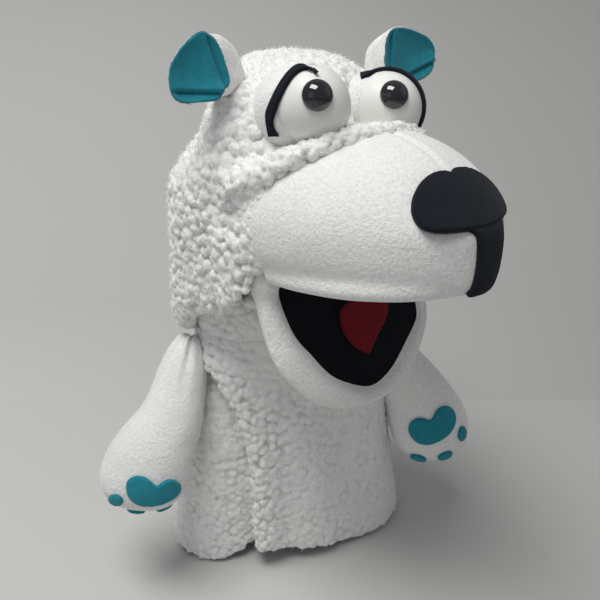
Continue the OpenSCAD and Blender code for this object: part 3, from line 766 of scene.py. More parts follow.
# The rolls under the eyes and round the lower edge
brow_x = np.linspace(-0.062, 0.062, 33)
under_eyes = out_of(HEAD, stacked(brow_x, -0.0885 + 0.036 * (abs(brow_x) / 0.062) ** 3,
                                  0.3150 - 0.0155 * (abs(brow_x) / 0.050) ** 2.4))
behind_eyes = under_eyes + np.array(HEAD.to_3x3() @ Vector((0, 0.0100, -0.0050)))
rim_turn = np.radians(np.linspace(-52, 232, 48))
rim_y = -0.008 + 0.055 * power(np.sin(rim_turn), 0.87)
rim_out = 1 + 0.06 * part(rim_y, 0, 0.03)
rim = out_of(HEAD, stacked(0.0655 * power(np.cos(rim_turn), 0.87) * rim_out, rim_y * rim_out,
                           hood_edge(rim_y) + 0.0015))
hood_mesh = joined(reshaped("head_cover"), tube(under_eyes, ROLL_R), tube(behind_eyes, FILL_R),
                   tube(rim, ROLL_R))
hood_mesh = softened(remeshed(hood_mesh, HOOD_VOXEL), 14)
hood = new_piece("hood", curly(hood_mesh, off_head, head_strength, 3), curly_pile, "head",
                 ["head_cover"])
wisps("hood_wisps", hood, 5, "head")

# ---- The sleeve: curly pile cloth ----
# A front and a back panel sewn at the sides and left raw at the hem. The front hangs over a deep fold on the
# puppet's right.
SLEEVE_STEPS = 180
PANEL_H = 0.160
CLOTH_VOXEL = 0.0021
HEM_HALF = (0.089, 0.048)
TOP_HALF = (0.062, 0.043)
SLEEVE_INSETS = (0.001, 0.0062)
FOLD_DEPTH = 0.029
HEM_LIFT = 0.0145


def sleeve_ring(z, inset):
    """A ring of the sleeve at a height, an oval with the fold tucked behind the front panel's edge."""
    rise = z / PANEL_H
    half_x, half_y = (low + (high - low) * rise - inset for low, high in zip(HEM_HALF, TOP_HALF))
    angle = circle(SLEEVE_STEPS)
    x = half_x * power(np.sin(angle), 2 / 2.2)
    y = -half_y * power(np.cos(angle), 2 / 2.2)
    x *= 1 + 0.0068 / half_x * (x > 0) * (x / half_x) ** 2 * part(y, 0.020, -0.030)
    reach = np.hypot(x, y)
    turn = np.degrees(np.arctan2(x, -y))
    fold_at = np.interp(rise, (0, 0.44, 0.56, 0.69, 0.81, 0.94, 1.0), (-37, -38, -40, -44, -50, -63, -74))
    past = np.maximum(fold_at - turn, 0)
    tuck = FOLD_DEPTH * (1 - 0.42 * rise) * (1 - bell(past, 0, 4.2)) * np.exp(-past / (17 - 5 * (1 - rise)))
    roll = 0.0075 * bell(turn, fold_at + 8, 11) * (1 - 0.6 * rise) + 0.008 * bell(turn, 62, 15)
    soft = 0.0022 * (1 - 0.6 * rise) * (np.sin(np.radians(turn * 3 + 40 + 60 * rise))
                                        + 0.6 * np.sin(np.radians(turn * 5 + 10)))
    scale = (reach - tuck + roll + soft) / reach
    beside = np.where(past > 0, past / 14, (turn + 38) / 34)
    lifted = HEM_LIFT * bell(beside, 0, 1) + 0.0045 * bell(turn, 12, 38)
    hem = lifted * (1 - rise) ** 6 + 0.0012 * (1 + np.sin(angle * 9)) * (1 - rise) ** 8
    return stacked(x * scale, y * scale, z + hem)


sleeve_heights = (0.0012, PANEL_H - 0.001)
sleeve_rings = [sleeve_ring(z, SLEEVE_INSETS[0]) for z in np.linspace(*sleeve_heights, 60)]
sleeve_rings += [sleeve_ring(z, SLEEVE_INSETS[1]) for z in np.linspace(*sleeve_heights[::-1], 60)]
sleeve_rings.append(sleeve_rings[0])


def off_sleeve(co, normal):
    """How far each point's normal looks away from the sleeve's axis."""
    return (unit(co * (0.55, 1, 0)) * normal).sum(1)


def sleeve_strength(co):
    """The pile stands lower on the middle of the front panel and beyond the fold."""
    turn = np.degrees(np.arctan2(co[:, 0], -co[:, 1]))
    low = part(co[:, 2], 0.115, -0.04)
    past = turn - np.interp(co[:, 2], (0.070, 0.110, 0.130, 0.150, 0.160), (-38, -44, -50, -63, -74))
    front = part(past, 14 - 14 * low, 24) * part(turn, 110, -30)
    side = part(past, -2, -8) * part(turn, -150, 30)
    return 1.0 - 0.48 * front - 0.35 * side + 0.15 * slow_wave(co, 0.04, 19)[:, 0]


sleeve_mesh = softened(remeshed(lofted(sleeve_rings, capped=False), CLOTH_VOXEL), 5)
sleeve = new_piece("sleeve", curly(sleeve_mesh, off_sleeve, sleeve_strength, 31), curly_pile, "sleeve",
                   ["sleeve_front", "sleeve_back"])
wisps("sleeve_wisps", sleeve, 15, "sleeve")

# ---- The neck: curly pile cloth ----
# A short tube of the same cloth, sewn to the sleeve's top and inside the hood. It is laid as two lengths that
# meet over the foam ring at the wrist.
NECK_STEPS = 120
NECK_WALL = 0.0042


def neck_ring(z, half_x, half_y):
    turn = circle(NECK_STEPS)
    return stacked(half_x * power(np.cos(turn), 0.92), half_y * power(np.sin(turn), 0.92), z)


def neck_strength(co):
    """The pile stands higher at the puppet's right, where the hood leaves the neck in view."""
    return 0.35 + 0.55 * part(co[:, 0], -0.025, -0.02)


def neck_length(name, rows, seed, replaced=()):
    outer = [neck_ring(z, x, y) for z, x, y in rows]
    inner = [neck_ring(z, x - NECK_WALL, y - NECK_WALL) for z, x, y in rows[::-1]]
    mesh = softened(remeshed(lofted(outer + inner + outer[:1], capped=False), CLOTH_VOXEL), 5)
    piece = new_piece(name, curly(mesh, off_sleeve, neck_strength, seed), curly_pile,
                      replaced=replaced)
    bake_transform(piece)


neck_length("neck_lower", [(0.1540, 0.0625, 0.0430), (0.1600, 0.0640, 0.0445), (0.1655, 0.0615, 0.0442),
                           (0.1705, 0.0600, 0.0436), (0.1770, 0.0585, 0.0430), (0.1835, 0.0580, 0.0425)], 41,
            ["neck_cloth"])
neck_length("neck_upper", [(0.1800, 0.0578, 0.0420), (0.1880, 0.0590, 0.0430), (0.1980, 0.0595, 0.0430),
                           (0.2110, 0.0595, 0.0420)], 51)

# ---- The muzzle: short pile fleece over foam ----
# Two halves of white fleece with a seam along the top, glued over a carved block. The lower edge is turned in
# round the upper lip, and the hood is sewn over its back edge.
LIP_Z = 0.2395
MUZZLE_H = 0.076
OVAL_STEPS = 120
FLEECE_VOXEL = 0.0016
FLEECE_WALL = 0.0018

# A very short matted pile, a little pilled, with a soft sheen
cloth = Finish("white fleece")
at = cloth.place()
pills = cloth.noise(at, 520, 3, 0.65, 0.15)
shade = cloth.ramp(pills, (0.32, (0.74, 0.735, 0.72)), (0.62, (0.885, 0.88, 0.87)))
white_fleece = cloth.set(Base_Color=cloth.blend(cloth.noise(at, 18, 2) * 0.35, shade, (0.86, 0.845, 0.82)),
                         Roughness=0.9, Specular_IOR_Level=0.12, Sheen_Weight=0.4, Sheen_Roughness=0.5,
                         Subsurface_Weight=0.1, Subsurface_Radius=(1, 0.9, 0.8), Subsurface_Scale=0.002,
                         Normal=cloth.bump(cloth.noise(at, 1500, 3, 0.65), 0.0005, 0.5,
                                           Normal=cloth.bump(pills, 0.0014, 0.6)))


def oval_ring(y, z, half_x, up, down, square_up, square_down):
    """An upright ring whose upper and lower halves are ovals of their own height and squareness."""
    turn = circle(OVAL_STEPS)
    c, s = np.cos(turn), np.sin(turn)
    square = np.where(s >= 0, 2 / square_up, 2 / square_down)
    return stacked(half_x * power(c, square), y, z + np.where(s >= 0, up, down) * power(s, square))


def muzzle_ring(turn, y):
    c, s = max(math.cos(turn), 1e-4), math.sin(turn)
    middle = LIP_Z + 0.37 * MUZZLE_H
    top = LIP_Z + MUZZLE_H * (1 - 0.6 * s ** 3.84)
    return oval_ring(y, middle, 0.067 * c ** 1.02, (top - middle) * c ** 0.3, 0.46 * MUZZLE_H * c ** 0.15,
                     1.95, 2.8)


def clipped(mesh, z):
    """Keeps what lies above a height, and closes the cut."""
    def cut(bm):
        made = bmesh.ops.bisect_plane(bm, geom=bm.verts[:] + bm.edges[:] + bm.faces[:], plane_co=(0, 0, z),
                                      plane_no=(0, 0, 1), clear_inner=True)
        edges = [e for e in made["geom_cut"] if isinstance(e, bmesh.types.BMEdge)]
        bmesh.ops.triangle_fill(bm, edges=edges, use_beauty=True)
    return edited(mesh, cut)


muzzle_turns = np.radians(np.linspace(0, 88.5, 46))
muzzle_solid = lofted([muzzle_ring(0, -0.018), muzzle_ring(0, -0.040)]
                      + [muzzle_ring(t, -0.060 - 0.100 * math.sin(t)) for t in muzzle_turns])
lip_turns = np.radians(np.linspace(-88, 88, 49))
upper_lip = stacked(0.0600 * np.sin(lip_turns) * np.cos(lip_turns * 0.2),
                    -0.062 - 0.0895 * np.cos(lip_turns) ** 0.86, LIP_Z + 0.0046)
muzzle_mesh = joined(clipped(muzzle_solid, LIP_Z), tube(upper_lip, 0.0052))
muzzle_mesh = softened(remeshed(muzzle_mesh, FLEECE_VOXEL), 8)
co = points_of(muzzle_mesh)
normal = normals_of(muzzle_mesh)
muzzle_tree = tree_of(out_of(FACE, co), muzzle_mesh)
# The seam is a dent between two low ridges
ridge = bell(abs(co[:, 0]), 0.0042, 0.0030) * 0.5 - 1.5 * bell(co[:, 0], 0, 0.0010)
on_top = part(co[:, 2], LIP_Z + 0.02, 0.01) * part(normal[:, 2], 0.1, 0.25)
padding = slow_wave(co, 0.021, 61)[:, 0] * 0.0005
move_points(muzzle_mesh, co + normal * (0.0009 * ridge * on_top + padding)[:, None])
muzzle_mesh = opened(muzzle_mesh, lambda c, n: (c[:, 1] > -0.0195) | ((c[:, 1] > -0.055) & (n[:, 2] < -0.8)),
                     FLEECE_WALL)
muzzle = new_piece("muzzle", with_transform(muzzle_mesh, FACE), white_fleece, "head",
                   ["muzzle_cover"])

# ---- The lower jaw: short pile fleece over foam ----
# A padded lip that stands round the lower board, of the same fleece, with soft corners that join it to the
# muzzle.
JAW_LIP_Z = 0.2385
FLIP = Matrix.Scale(-1, 4, (0, 0, 1))


def ball(round_about, pole_to_pole, matrix):
    """A ball of radius 1, brought to its size and place by a matrix."""
    mesh = edited(bpy.data.meshes.new("ball"), lambda bm: bmesh.ops.create_uvsphere(
        bm, u_segments=round_about, v_segments=pole_to_pole, radius=1))
    return with_transform(mesh, matrix)


def jaw_ring(turn, y):
    c = max(math.cos(turn), 1e-4)
    return oval_ring(y, JAW_LIP_Z, 0.0625 * c ** 0.86, 0.3 * 0.025 * c ** 0.35, 0.0262 * c ** 0.35, 2.3, 2.2)


jaw_turns = np.radians(np.linspace(0, 88, 40))
jaw_solid = lofted([jaw_ring(0, -0.053), jaw_ring(0, -0.070)]
                   + [jaw_ring(t, -0.088 - 0.0595 * math.sin(t)) for t in jaw_turns])
clipped(with_transform(jaw_solid, FLIP), -0.2362)
with_transform(jaw_solid, FLIP)
# The lip's roll, from the right corner round to the left one: two places and a radius each, in millimetres
ROLL = [(-54.0, -56, 6.3), (-54.0, -65, 6.5), (-53.6, -81.5, 7.7), (-48.8, -103.6, 9), (-36.2, -125.2, 8.4),
        (-21.7, -136.4, 6.6), (-7.5, -142.6, 4.8), (1, -143.6, 4.2), (10, -142.2, 4.6), (23, -137, 5.6),
        (35.2, -129, 5.8), (48, -118, 4.8), (55, -108, 4.4), (57.4, -90, 4.6), (57, -66, 5.0),
        (56.5, -56, 5.4)]
roll = smooth_line(ROLL, 90) * MM
corners = [ball(32, 20, Matrix.Translation((side * 0.0545, -0.0585, 0.2370))
                @ Matrix.Diagonal((0.0085, 0.0118, 0.0108, 1))) for side in (-1, 1)]
jaw_roll = tube(stacked(roll[:, 0], roll[:, 1], 0.241 - roll[:, 2]), roll[:, 2], 24)
jaw_mesh = softened(remeshed(joined(jaw_solid, jaw_roll, *corners), FLEECE_VOXEL), 9)
uneven(jaw_mesh, 0.0006, 0.018, 67)
jaw_mesh = opened(jaw_mesh, lambda c, n: (c[:, 1] > -0.0545) & (abs(c[:, 0]) < 0.040), FLEECE_WALL)
jaw_skin = new_piece("jaw_skin", with_transform(jaw_mesh, JAW), white_fleece, "jaw", ["jaw_cover"])

# ---- The mouth: black felt and a red tongue ----
# One piece of smooth black felt lines both boards and runs through the fold at the back. The tongue is dark
# red felt cut with a point and sewn on a little to the puppet's left.
def felt_finish(name, color, deep, fuzz, sheen):
    """Pressed felt: short matted fibres that mottle the colour."""
    felt = Finish(name)
    at = felt.place()
    fibres = felt.noise(at, 1100, 4, 0.7, 1.5)
    mottle = felt.noise(at, 260, 3, 0.6)
    tint = felt.blend(mottle, deep, color)
    bright = felt.blend(felt.share(fibres, 0.58, 0.75) * fuzz, tint,
                        tuple(min(1.0, c * 1.6 + 0.02) for c in color))
    return felt.set(Base_Color=bright, Roughness=0.92, Specular_IOR_Level=0.15, Sheen_Weight=sheen,
                    Sheen_Roughness=0.5, Normal=felt.bump(fibres, 0.0005, 0.5))


black_felt = felt_finish("black felt", (0.011, 0.015, 0.022), (0.006, 0.008, 0.012), 0.5, 0.05)
mouth_felt = felt_finish("mouth lining", (0.006, 0.007, 0.011), (0.003, 0.004, 0.006), 0.2, 0.02)
tongue_felt = felt_finish("tongue felt", (0.19, 0.008, 0.016), (0.13, 0.005, 0.010), 0.2, 0.05)
PATCH_SUNK = 0.0006
LINING_STEPS = 41
LINING_HALF = 0.0525
AHEAD = (0.076, 0.070, 0.062, 0.052, 0.042, 0.032, 0.022, 0.014, 0.008, 0.005)
lining_side = np.linspace(-1, 1, LINING_STEPS)


def upper_edges(ahead):
    """Both edges of the upper lining at a distance in front of the hinge."""
    half = LINING_HALF * max(0.0, 1 - max(0.0, (ahead - 0.022) / 0.0600) ** 1.9) ** 0.72
    return -half, half


def lower_edges(ahead):
    """Both edges of the lower lining, which lie under the middle of the lip's roll."""
    tip = int(np.argmin(roll[:, 1]))
    return (np.interp(0.058 + ahead, -roll[:tip + 1, 1], roll[:tip + 1, 0]),
            np.interp(0.058 + ahead, -roll[tip:, 1][::-1], roll[tip:, 0][::-1]))


def lining_row(matrix, ahead, z, edges):
    right, left = edges
    return out_of(matrix, stacked((right + left) / 2 + lining_side * (left - right) / 2, -0.058 - ahead,
                                  z + 0.0006 * abs(lining_side) ** 6))


def arc_row(share):
    """A row of the fold, on an arc from the upper board round the front of the hinge to the lower one."""
    return lining_row(FACE @ about_hinge(JAW_OPEN * share), 0.0032, 0.239 + 0.0012 * (1 - 2 * share),
                      (-LINING_HALF, LINING_HALF))


rows = [lining_row(FACE, a, LIP_Z + 0.0016, upper_edges(a)) for a in (0.0815, 0.080) + AHEAD]
rows += [arc_row(s) for s in (0.0, 0.25, 0.5, 0.75, 1.0)]
rows += [lining_row(JAW, a, 0.2372, lower_edges(a)) for a in AHEAD[::-1] + (0.081, 0.0845)]
lining_mesh = mesh_of(np.concatenate(rows),
                      [(i, i + 1, i + LINING_STEPS + 1, i + LINING_STEPS)
                       for row in range(len(rows) - 1)
                       for i in range(row * LINING_STEPS, (row + 1) * LINING_STEPS - 1)])
lower_middle = 20 * (LINING_STEPS - 1) + LINING_STEPS // 2
if lining_mesh.polygons[lower_middle].normal.y > 0:
    lining_mesh.flip_normals()
lining_mesh = with_modifier(with_modifier(lining_mesh, "SOLIDIFY", thickness=0.0012, offset=-1), "SUBSURF",
                            levels=1, render_levels=1)
lining = new_piece("mouth_lining", lining_mesh, mouth_felt,
                   replaced=["upper_lining", "lower_lining", "mouth_hinge"])
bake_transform(lining)


def cut_patch(outline, cast, gap, thick, lift=None, smooth=6, sharp=False):
    """Felt cut to an outline and laid where cast puts its flat points, rounded at its edge."""
    loop = np.asarray(outline, float) if sharp else smooth_loop(outline, gap)
    if np.sum(loop[:, 0] * np.roll(loop[:, 1], -1) - np.roll(loop[:, 0], -1) * loop[:, 1]) < 0:
        loop = loop[::-1]
    n = len(loop)
    low, high = loop.min(0), loop.max(0)
    xs, ys = np.meshgrid(np.arange(low[0], high[0], gap), np.arange(low[1], high[1], gap * 0.87))
    xs = xs + gap * 0.5 * (np.arange(xs.shape[0])[:, None] % 2)
    grid = np.stack([xs.ravel(), ys.ravel()], 1)
    a, b = loop, np.roll(loop, -1, 0)

    def edge_gap(p):
        t = np.clip(((p - a) * (b - a)).sum(1) / np.maximum(((b - a) ** 2).sum(1), 1e-12), 0, 1)
        return np.sqrt((((a + t[:, None] * (b - a)) - p) ** 2).sum(1).min())

    inside = [p for p in grid if edge_gap(p) > 0.55 * gap]
    border = [(i, (i + 1) % n) for i in range(n)]
    flat, _, faces, _, _, _ = delaunay_2d_cdt([Vector(p) for p in list(loop) + inside], border,
                                              [tuple(range(n))], 1, 1e-6)
    flat = np.array([tuple(p) for p in flat])
    away = np.array([edge_gap(p) for p in flat])
    found = [cast(x, y) for x, y in flat]
    base = np.array([tuple(f[0]) for f in found])
    up = np.array([tuple(f[1]) for f in found])
    ends = {(min(f[i], f[i - 1]), max(f[i], f[i - 1])) for f in faces for i in range(len(f))}
    pairs = np.array(sorted(ends))
    count = np.maximum(np.bincount(pairs.ravel(), minlength=len(flat)), 1)[:, None]
    for _ in range(smooth):
        for value in (up, base):
            mean = np.zeros_like(value)
            np.add.at(mean, pairs[:, 0], value[pairs[:, 1]])
            np.add.at(mean, pairs[:, 1], value[pairs[:, 0]])
            share = 0.5 if value is up else 0.25 * (away > 0.3 * gap)[:, None]
            value += (mean / count - value) * share
    up = unit(up)
    rise = np.zeros(len(flat)) if lift is None else np.array([lift(x, y) for x, y in flat])
    full = part(away, 0, gap)
    top = base + up * (rise + thick * (0.62 + 0.38 * np.sqrt(full * (2 - full))))[:, None]
    bottom = base + up * (rise - PATCH_SUNK)[:, None]
    m = len(flat)
    sides = {(f[i], f[(i + 1) % len(f)]) for f in faces for i in range(len(f))}
    skirt = [(i + m, j + m, j, i) for i, j in sorted(sides) if (j, i) not in sides]
    return faced_out(mesh_of(np.vstack([top, bottom]), [tuple(f) for f in faces]
                             + [tuple(i + m for i in f[::-1]) for f in faces] + skirt))


def flat_on(matrix, z):
    """A cast onto a flat plane of a frame, from millimetres in it."""
    up = matrix.to_3x3() @ Vector((0, 0, 1))
    return lambda x, y: (matrix @ Vector((x * MM, y * MM, z)), up)


# The tongue's outline on the lower board, in millimetres ahead of the hinge and to its left
TONGUE = [(-3, 27), (-10, 31), (-12, 37), (-11.5, 44), (-8, 51.5), (-3, 57), (1.8, 60.5), (6, 57.5),
          (13, 51.5), (21.5, 45), (26.5, 38), (25.5, 32), (19, 27), (8, 25)]
tongue_outline = [(x, -58 - ahead) for x, ahead in TONGUE]
new_piece("tongue_felt", cut_patch(tongue_outline, flat_on(JAW, 0.2385), 1.2, 0.0016), tongue_felt, "jaw",
          ["tongue"])


# ---- The eyes: plastic half balls on fleece mounds ----
# Satin white plastic half balls glued on padded fleece mounds. Each pupil is a glossy black dome pressed
# through its ball, and looks to the puppet's right. A black felt strip stands round the outer and upper edge
# of each eye.
EYE_R = 0.0195
PUPIL_R = 0.0075
LATHE_STEPS = 96


def looking(at, turn, rise):
    """A frame at a place in the head whose z axis looks ahead, turned to the left and then up."""
    return (HEAD @ Matrix.Translation(at) @ Matrix.Rotation(math.radians(turn), 4, "Z")
            @ Matrix.Rotation(math.radians(90 - rise), 4, "X"))


def lathed(profile, matrix):
    """A solid turned about its z axis from radii and heights, its first and last points near the axis."""
    turn = circle(LATHE_STEPS)
    rings = [stacked(r * np.cos(turn), r * np.sin(turn), z) for r, z in profile]
    return with_transform(lofted(rings), matrix)


def arc(radius, first, last, steps, height=0.0):
    """Radii and heights along an arc, its angles measured from the axis."""
    return [(radius * math.sin(a), height + radius * math.cos(a))
            for a in np.radians(np.linspace(first, last, steps))]


def clear_of(points, middle, radius):
    """Points pushed out of a ball."""
    away = points - middle
    reach = np.linalg.norm(away, axis=1, keepdims=True)
    return middle + away * np.maximum(1, radius / reach)


def strip(outer, inner, thick, matrix, middle, radius):
    """A felt strip between two edges, pushed out of a ball, its thickness away from the origin."""
    outer, inner = (clear_of(smooth_line(np.array(edge) * MM, 70), middle, radius) for edge in (outer, inner))
    across = inner - outer
    up = unit(np.cross(np.gradient((outer + inner) / 2, axis=0), across))
    up *= np.sign((up * (outer + inner)).sum(1, keepdims=True))
    section = [(0.03, 0), (0, 0.25), (0, 0.8), (0.06, 1), (0.3, 1.04), (0.7, 1.04), (0.94, 1), (1, 0.8),
               (1, 0.25), (0.97, 0)]
    rings = [[o + w * s + n * (h * thick - PATCH_SUNK) for s, h in section]
             for o, w, n in zip(outer, across, up)]
    return faced_out(with_transform(lofted(rings), matrix))


eye_plastic = Finish("eye plastic")
eye_dust = eye_plastic.noise(eye_plastic.place(), 90, 3)
eye_white = eye_plastic.set(Base_Color=eye_plastic.blend(eye_dust, (0.80, 0.805, 0.765), (0.775, 0.78, 0.74)),
                            Roughness=0.42, Specular_IOR_Level=0.4, Subsurface_Weight=0.08,
                            Subsurface_Radius=(1, 0.9, 0.7), Subsurface_Scale=0.002,
                            Normal=eye_plastic.bump(eye_dust, 0.0001, 0.2))
pupil_plastic = Finish("pupil plastic")
pupil_black = pupil_plastic.set(
    Base_Color=(0.006, 0.007, 0.011), Specular_IOR_Level=0.6, Coat_Weight=0.6, Coat_Roughness=0.03,
    Roughness=pupil_plastic.noise(pupil_plastic.place(), 160, 2) * 0.05 + 0.05)

# The right eye sits a little nearer the middle and higher than the left one.
EYES = {
    "right": {"side": -1, "at": (-0.0243, -0.0675, 0.328), "mound_at": (-0.0250, -0.0530, 0.3243),
              "mound_r": 0.0222, "gaze": (-0.0069, 0.0057, 0.0195)},
    "left": {"side": 1, "at": (0.0270, -0.0655, 0.3228), "mound_at": (0.0280, -0.0515, 0.3205),
             "mound_r": 0.0205, "gaze": (-0.0110, 0.0084, 0.0165)},
}
# The right strip lies over the edge between ball and mound and ends in a point. The left one runs round the
# ball on a circle that faces the puppet's right.
RIGHT_STRIP = {
    "outer": [(-22.7, -13, -6), (-23.2, -5.7, -5.8), (-22.8, 0, -4.6), (-20.8, 6, -1), (-17.5, 12, 1.6),
              (-13.3, 16.5, 2.2), (-9, 19.2, 2.4), (-6.5, 19.5, 5.6), (-5, 18, 10.3), (-4.2, 15, 14.3)],
    "inner": [(-18.4, -13.2, -2.3), (-19.6, -7, -3.5), (-20.2, -1, 0.2), (-19.2, 4.8, 4.3),
              (-16.3, 10.4, 6.3), (-12, 15, 6.6), (-8, 17.2, 7.3), (-6, 17.2, 9.2), (-4.6, 16.6, 11),
              (-4, 14.9, 13.9)],
}
left_turn = np.radians(np.linspace(127, -46, 12))[:, None]
left_round = np.cos(left_turn) * (0.6, 0, 0.8) + np.sin(left_turn) * (0, 1, 0)
LEFT_STRIP = {"outer": 20.9 * left_round + np.array((4.0, 0, -3.0)),
              "inner": 20.2 * left_round + np.array((-0.8, 0, 0.6))}

for name, eye in EYES.items():
    frame_at = looking(eye["at"], eye["side"] * 8, 8)
    mound_at = HEAD @ Vector(eye["mound_at"])
    mound_mesh = ball(96, 64, Matrix.Translation(mound_at) @ Matrix.Scale(eye["mound_r"], 4))
    mound = new_piece("eye_mound_cloth_" + name, uneven(mound_mesh, 0.0004, 0.012, 71), white_fleece, "head",
                      ["eye_mound_" + name])
    shell = arc(EYE_R - 0.0012, 1, 97, 40) + arc(EYE_R, 97, 1, 60)
    new_piece("eye_ball_" + name, lathed(shell, frame_at), eye_white, "head",
              ["eyeball_" + name])
    gaze = Vector(eye["gaze"]).to_track_quat("Z", "Y").to_matrix().to_4x4()
    dome = ([(0.0002, 0.0165), (PUPIL_R - 0.0002, 0.0165), (PUPIL_R, 0.0170), (PUPIL_R, 0.0193),
             (PUPIL_R - 0.0001, 0.0197)] + arc(0.0085, 60, 0.5, 28, 0.0158))
    new_piece("pupil_dome_" + name, lathed(dome, frame_at @ gaze), pupil_black, "head",
              ["pupil_" + name])
    edges = RIGHT_STRIP if name == "right" else LEFT_STRIP
    behind = in_frame(frame_at, np.array([tuple(mound_at)]))[0]
    new_piece("eye_strip_" + name, strip(edges["outer"], edges["inner"], 0.0018, frame_at, behind,
                                         eye["mound_r"] + 0.0006), black_felt, "head",
              ["eye_rim_" + name])


# ---- The ears: fleece cups lined with turquoise felt ----
# Each ear is a fleece cup sewn to the hood by a gathered root. Its turquoise felt lining is folded over along
# two sides and creased where it is pressed into the cup.
turquoise_felt = felt_finish("turquoise felt", (0.021, 0.28, 0.355), (0.009, 0.17, 0.235), 0.45, 0.2)
EAR_VOXEL = 0.0009
EAR_OUTLINES = {
    "right": [(0.5, 16.5), (-8.8, 10), (-15, 2.4), (-17, -3.5), (-17, -10.5), (-14.2, -15), (-8, -16.6),
              (0, -16.2), (7, -15.4), (10.6, -11.4), (14, -6.9), (12.6, 1.6), (10.2, 9.5), (6.4, 14.6)],
    "left": [(-14.5, 7), (-15.4, -2), (-13.5, -10), (-6, -14.5), (3, -15), (11, -13.6), (18.6, -11),
             (23.4, -6.3), (25, 0.7), (24.2, 6), (19.2, 10.9), (9.7, 14.7), (1, 16.7), (-7.6, 16.5),
             (-12.4, 13.4)],
}
EAR_ROOTS = {"right": (19, -13.0, -15.5), "left": (-12.5, -13.0, -12.0)}
EAR_BULGE = {"right": (15.0, 4.0), "left": (-9.0, -2.0)}
# Each crease: where it starts and ends, how far the felt beyond it stands up, and on which side of it that
# lies
EAR_CREASES = {
    "right": [((3.6, 14.5), (10.6, -11.5), 2.0, 1), ((-14, -10.2), (9.5, -11.8), 2.0, -1)],
    "left": [((-8.0, 13.5), (-10.0, -8.0), 1.7, -1), ((6.0, -8.6), (23.0, -3.0), 2.0, -1)],
}


def ear_cup(outline, root, bulge):
    """The cup's skin: out from the root, round the lip and in to the bottom of the bowl."""
    middle = outline.mean(0)
    rings = []
    for share, z, push in (
            (0.42, -13.5, 0.75), (0.64, -12.0, 0.45), (0.82, -9.0, 0.2), (0.93, -5.5, 0.08), (0.99, -1.4, 0),
            (1.035, 1.4, 0), (1.045, 2.2, 0), (1.035, 2.9, 0), (1.01, 3.0, 0), (0.99, 2.4, 0), (0.97, 0.6, 0),
            (0.90, -1.6, 0), (0.72, -3.6, 0), (0.4, -4.4, 0)):
        swell = max(0.0, min(1.0, -z / 9)) * (1 - push)
        flat = middle + (outline - middle) * share + np.array(root[:2]) * push + np.array(bulge) * swell
        rings.append(stacked(flat[:, 0], flat[:, 1], z + root[2] * push * 0.35))
    spread = rings[0] - rings[0].mean(0)
    first = [np.array(root) + spread * share + (0, 0, z) for share, z in ((0.5, -5.0), (0.95, -2.5))]
    return lofted([r * MM for r in first + rings])


def pressed_in(outline, creases):
    """A cast for the lining: dished, with each crease pressed in and the felt beyond it up."""
    def cast(x, y):
        p = np.array((x, y))
        height = 2.1 - 3.4 * (1 - np.exp(-np.linalg.norm(outline - p, axis=1).min() / 4.5))
        for start, end, rise, side in creases:
            length = math.dist(start, end)
            line = (np.array(end) - start) / length
            off = (p - start) @ np.array((-line[1], line[0])) * -side
            along = (p - start) @ line / length
            held = np.clip((along + 0.12) * 6, 0, 1) * np.clip((1.15 - along) * 6, 0, 1)
            step = 0.5 + 0.5 * np.tanh(off / 0.45)
            height += held * (rise * step * np.exp(-max(off, 0) / 7) - 1.5 * bell(off, -0.6, 0.9))
        return Vector((x, y, height)) * MM, Vector((0, 0, 1))
    return cast


for name, side in (("right", -1), ("left", 1)):
    ear_at = looking((side * 0.068, -0.033, 0.346), -10 if side < 0 else -2, 8)
    outline = smooth_loop(EAR_OUTLINES[name], 0.8)
    cup = softened(remeshed(ear_cup(outline, EAR_ROOTS[name], EAR_BULGE[name]), EAR_VOXEL), 6)
    cup = uneven(with_transform(cup, ear_at), 0.0004, 0.008, 81)
    ear = new_piece("ear_cup_" + name, cup, white_fleece, "head", ["ear_" + name])
    inner = outline.mean(0) + (outline - outline.mean(0)) * 0.985
    felt = cut_patch(inner, pressed_in(outline, EAR_CREASES[name]), 0.7, 0.0011, smooth=1, sharp=True)
    new_piece("ear_felt_" + name, with_transform(felt, ear_at), turquoise_felt, "head",
              ["ear_lining_" + name])


# ---- The arms: stuffed fleece ----
# Sewn tubes of white fleece that widen to round paws and are filled through a small hole at the top. They are
# gathered where they are sewn to the sleeve's sides under the hood.
ARM_RINGS = 72
ARM_STEPS = 60
ARM_VOXEL = 0.0042
ARM_WIDE = np.array((0.956, -0.292, 0))
SWELL_FRAMES = 20
# Down each arm in millimetres: the middle of a ring, and half its width and depth
ARMS = {
    "right": [((-64, -3, 174), 8, 8), ((-67, -7, 167), 13, 12), ((-71, -11.5, 156), 17, 15),
              ((-76, -17, 141.5), 19, 17.5), ((-83.5, -24, 126), 22, 19.5), ((-93.5, -29, 112), 26.5, 22.5),
              ((-101, -31.5, 98), 30, 24), ((-106, -33.5, 87), 29.5, 23.5), ((-108.5, -34.5, 77.5), 24.5, 19),
              ((-109.5, -35, 71.5), 15, 11)],
    "left": [((62, -2, 174), 8, 8), ((66, -5, 167), 13, 12), ((72, -10, 156), 17, 15),
             ((80, -16, 140), 19.5, 17.5), ((89, -21, 124), 23, 19.5), ((98, -25, 108), 27, 22.5),
             ((104, -28, 93), 29.5, 24), ((108, -30, 79), 29, 23.5), ((109.5, -31, 67.5), 24, 19),
             ((110, -31.5, 60.5), 14.5, 11)],
}


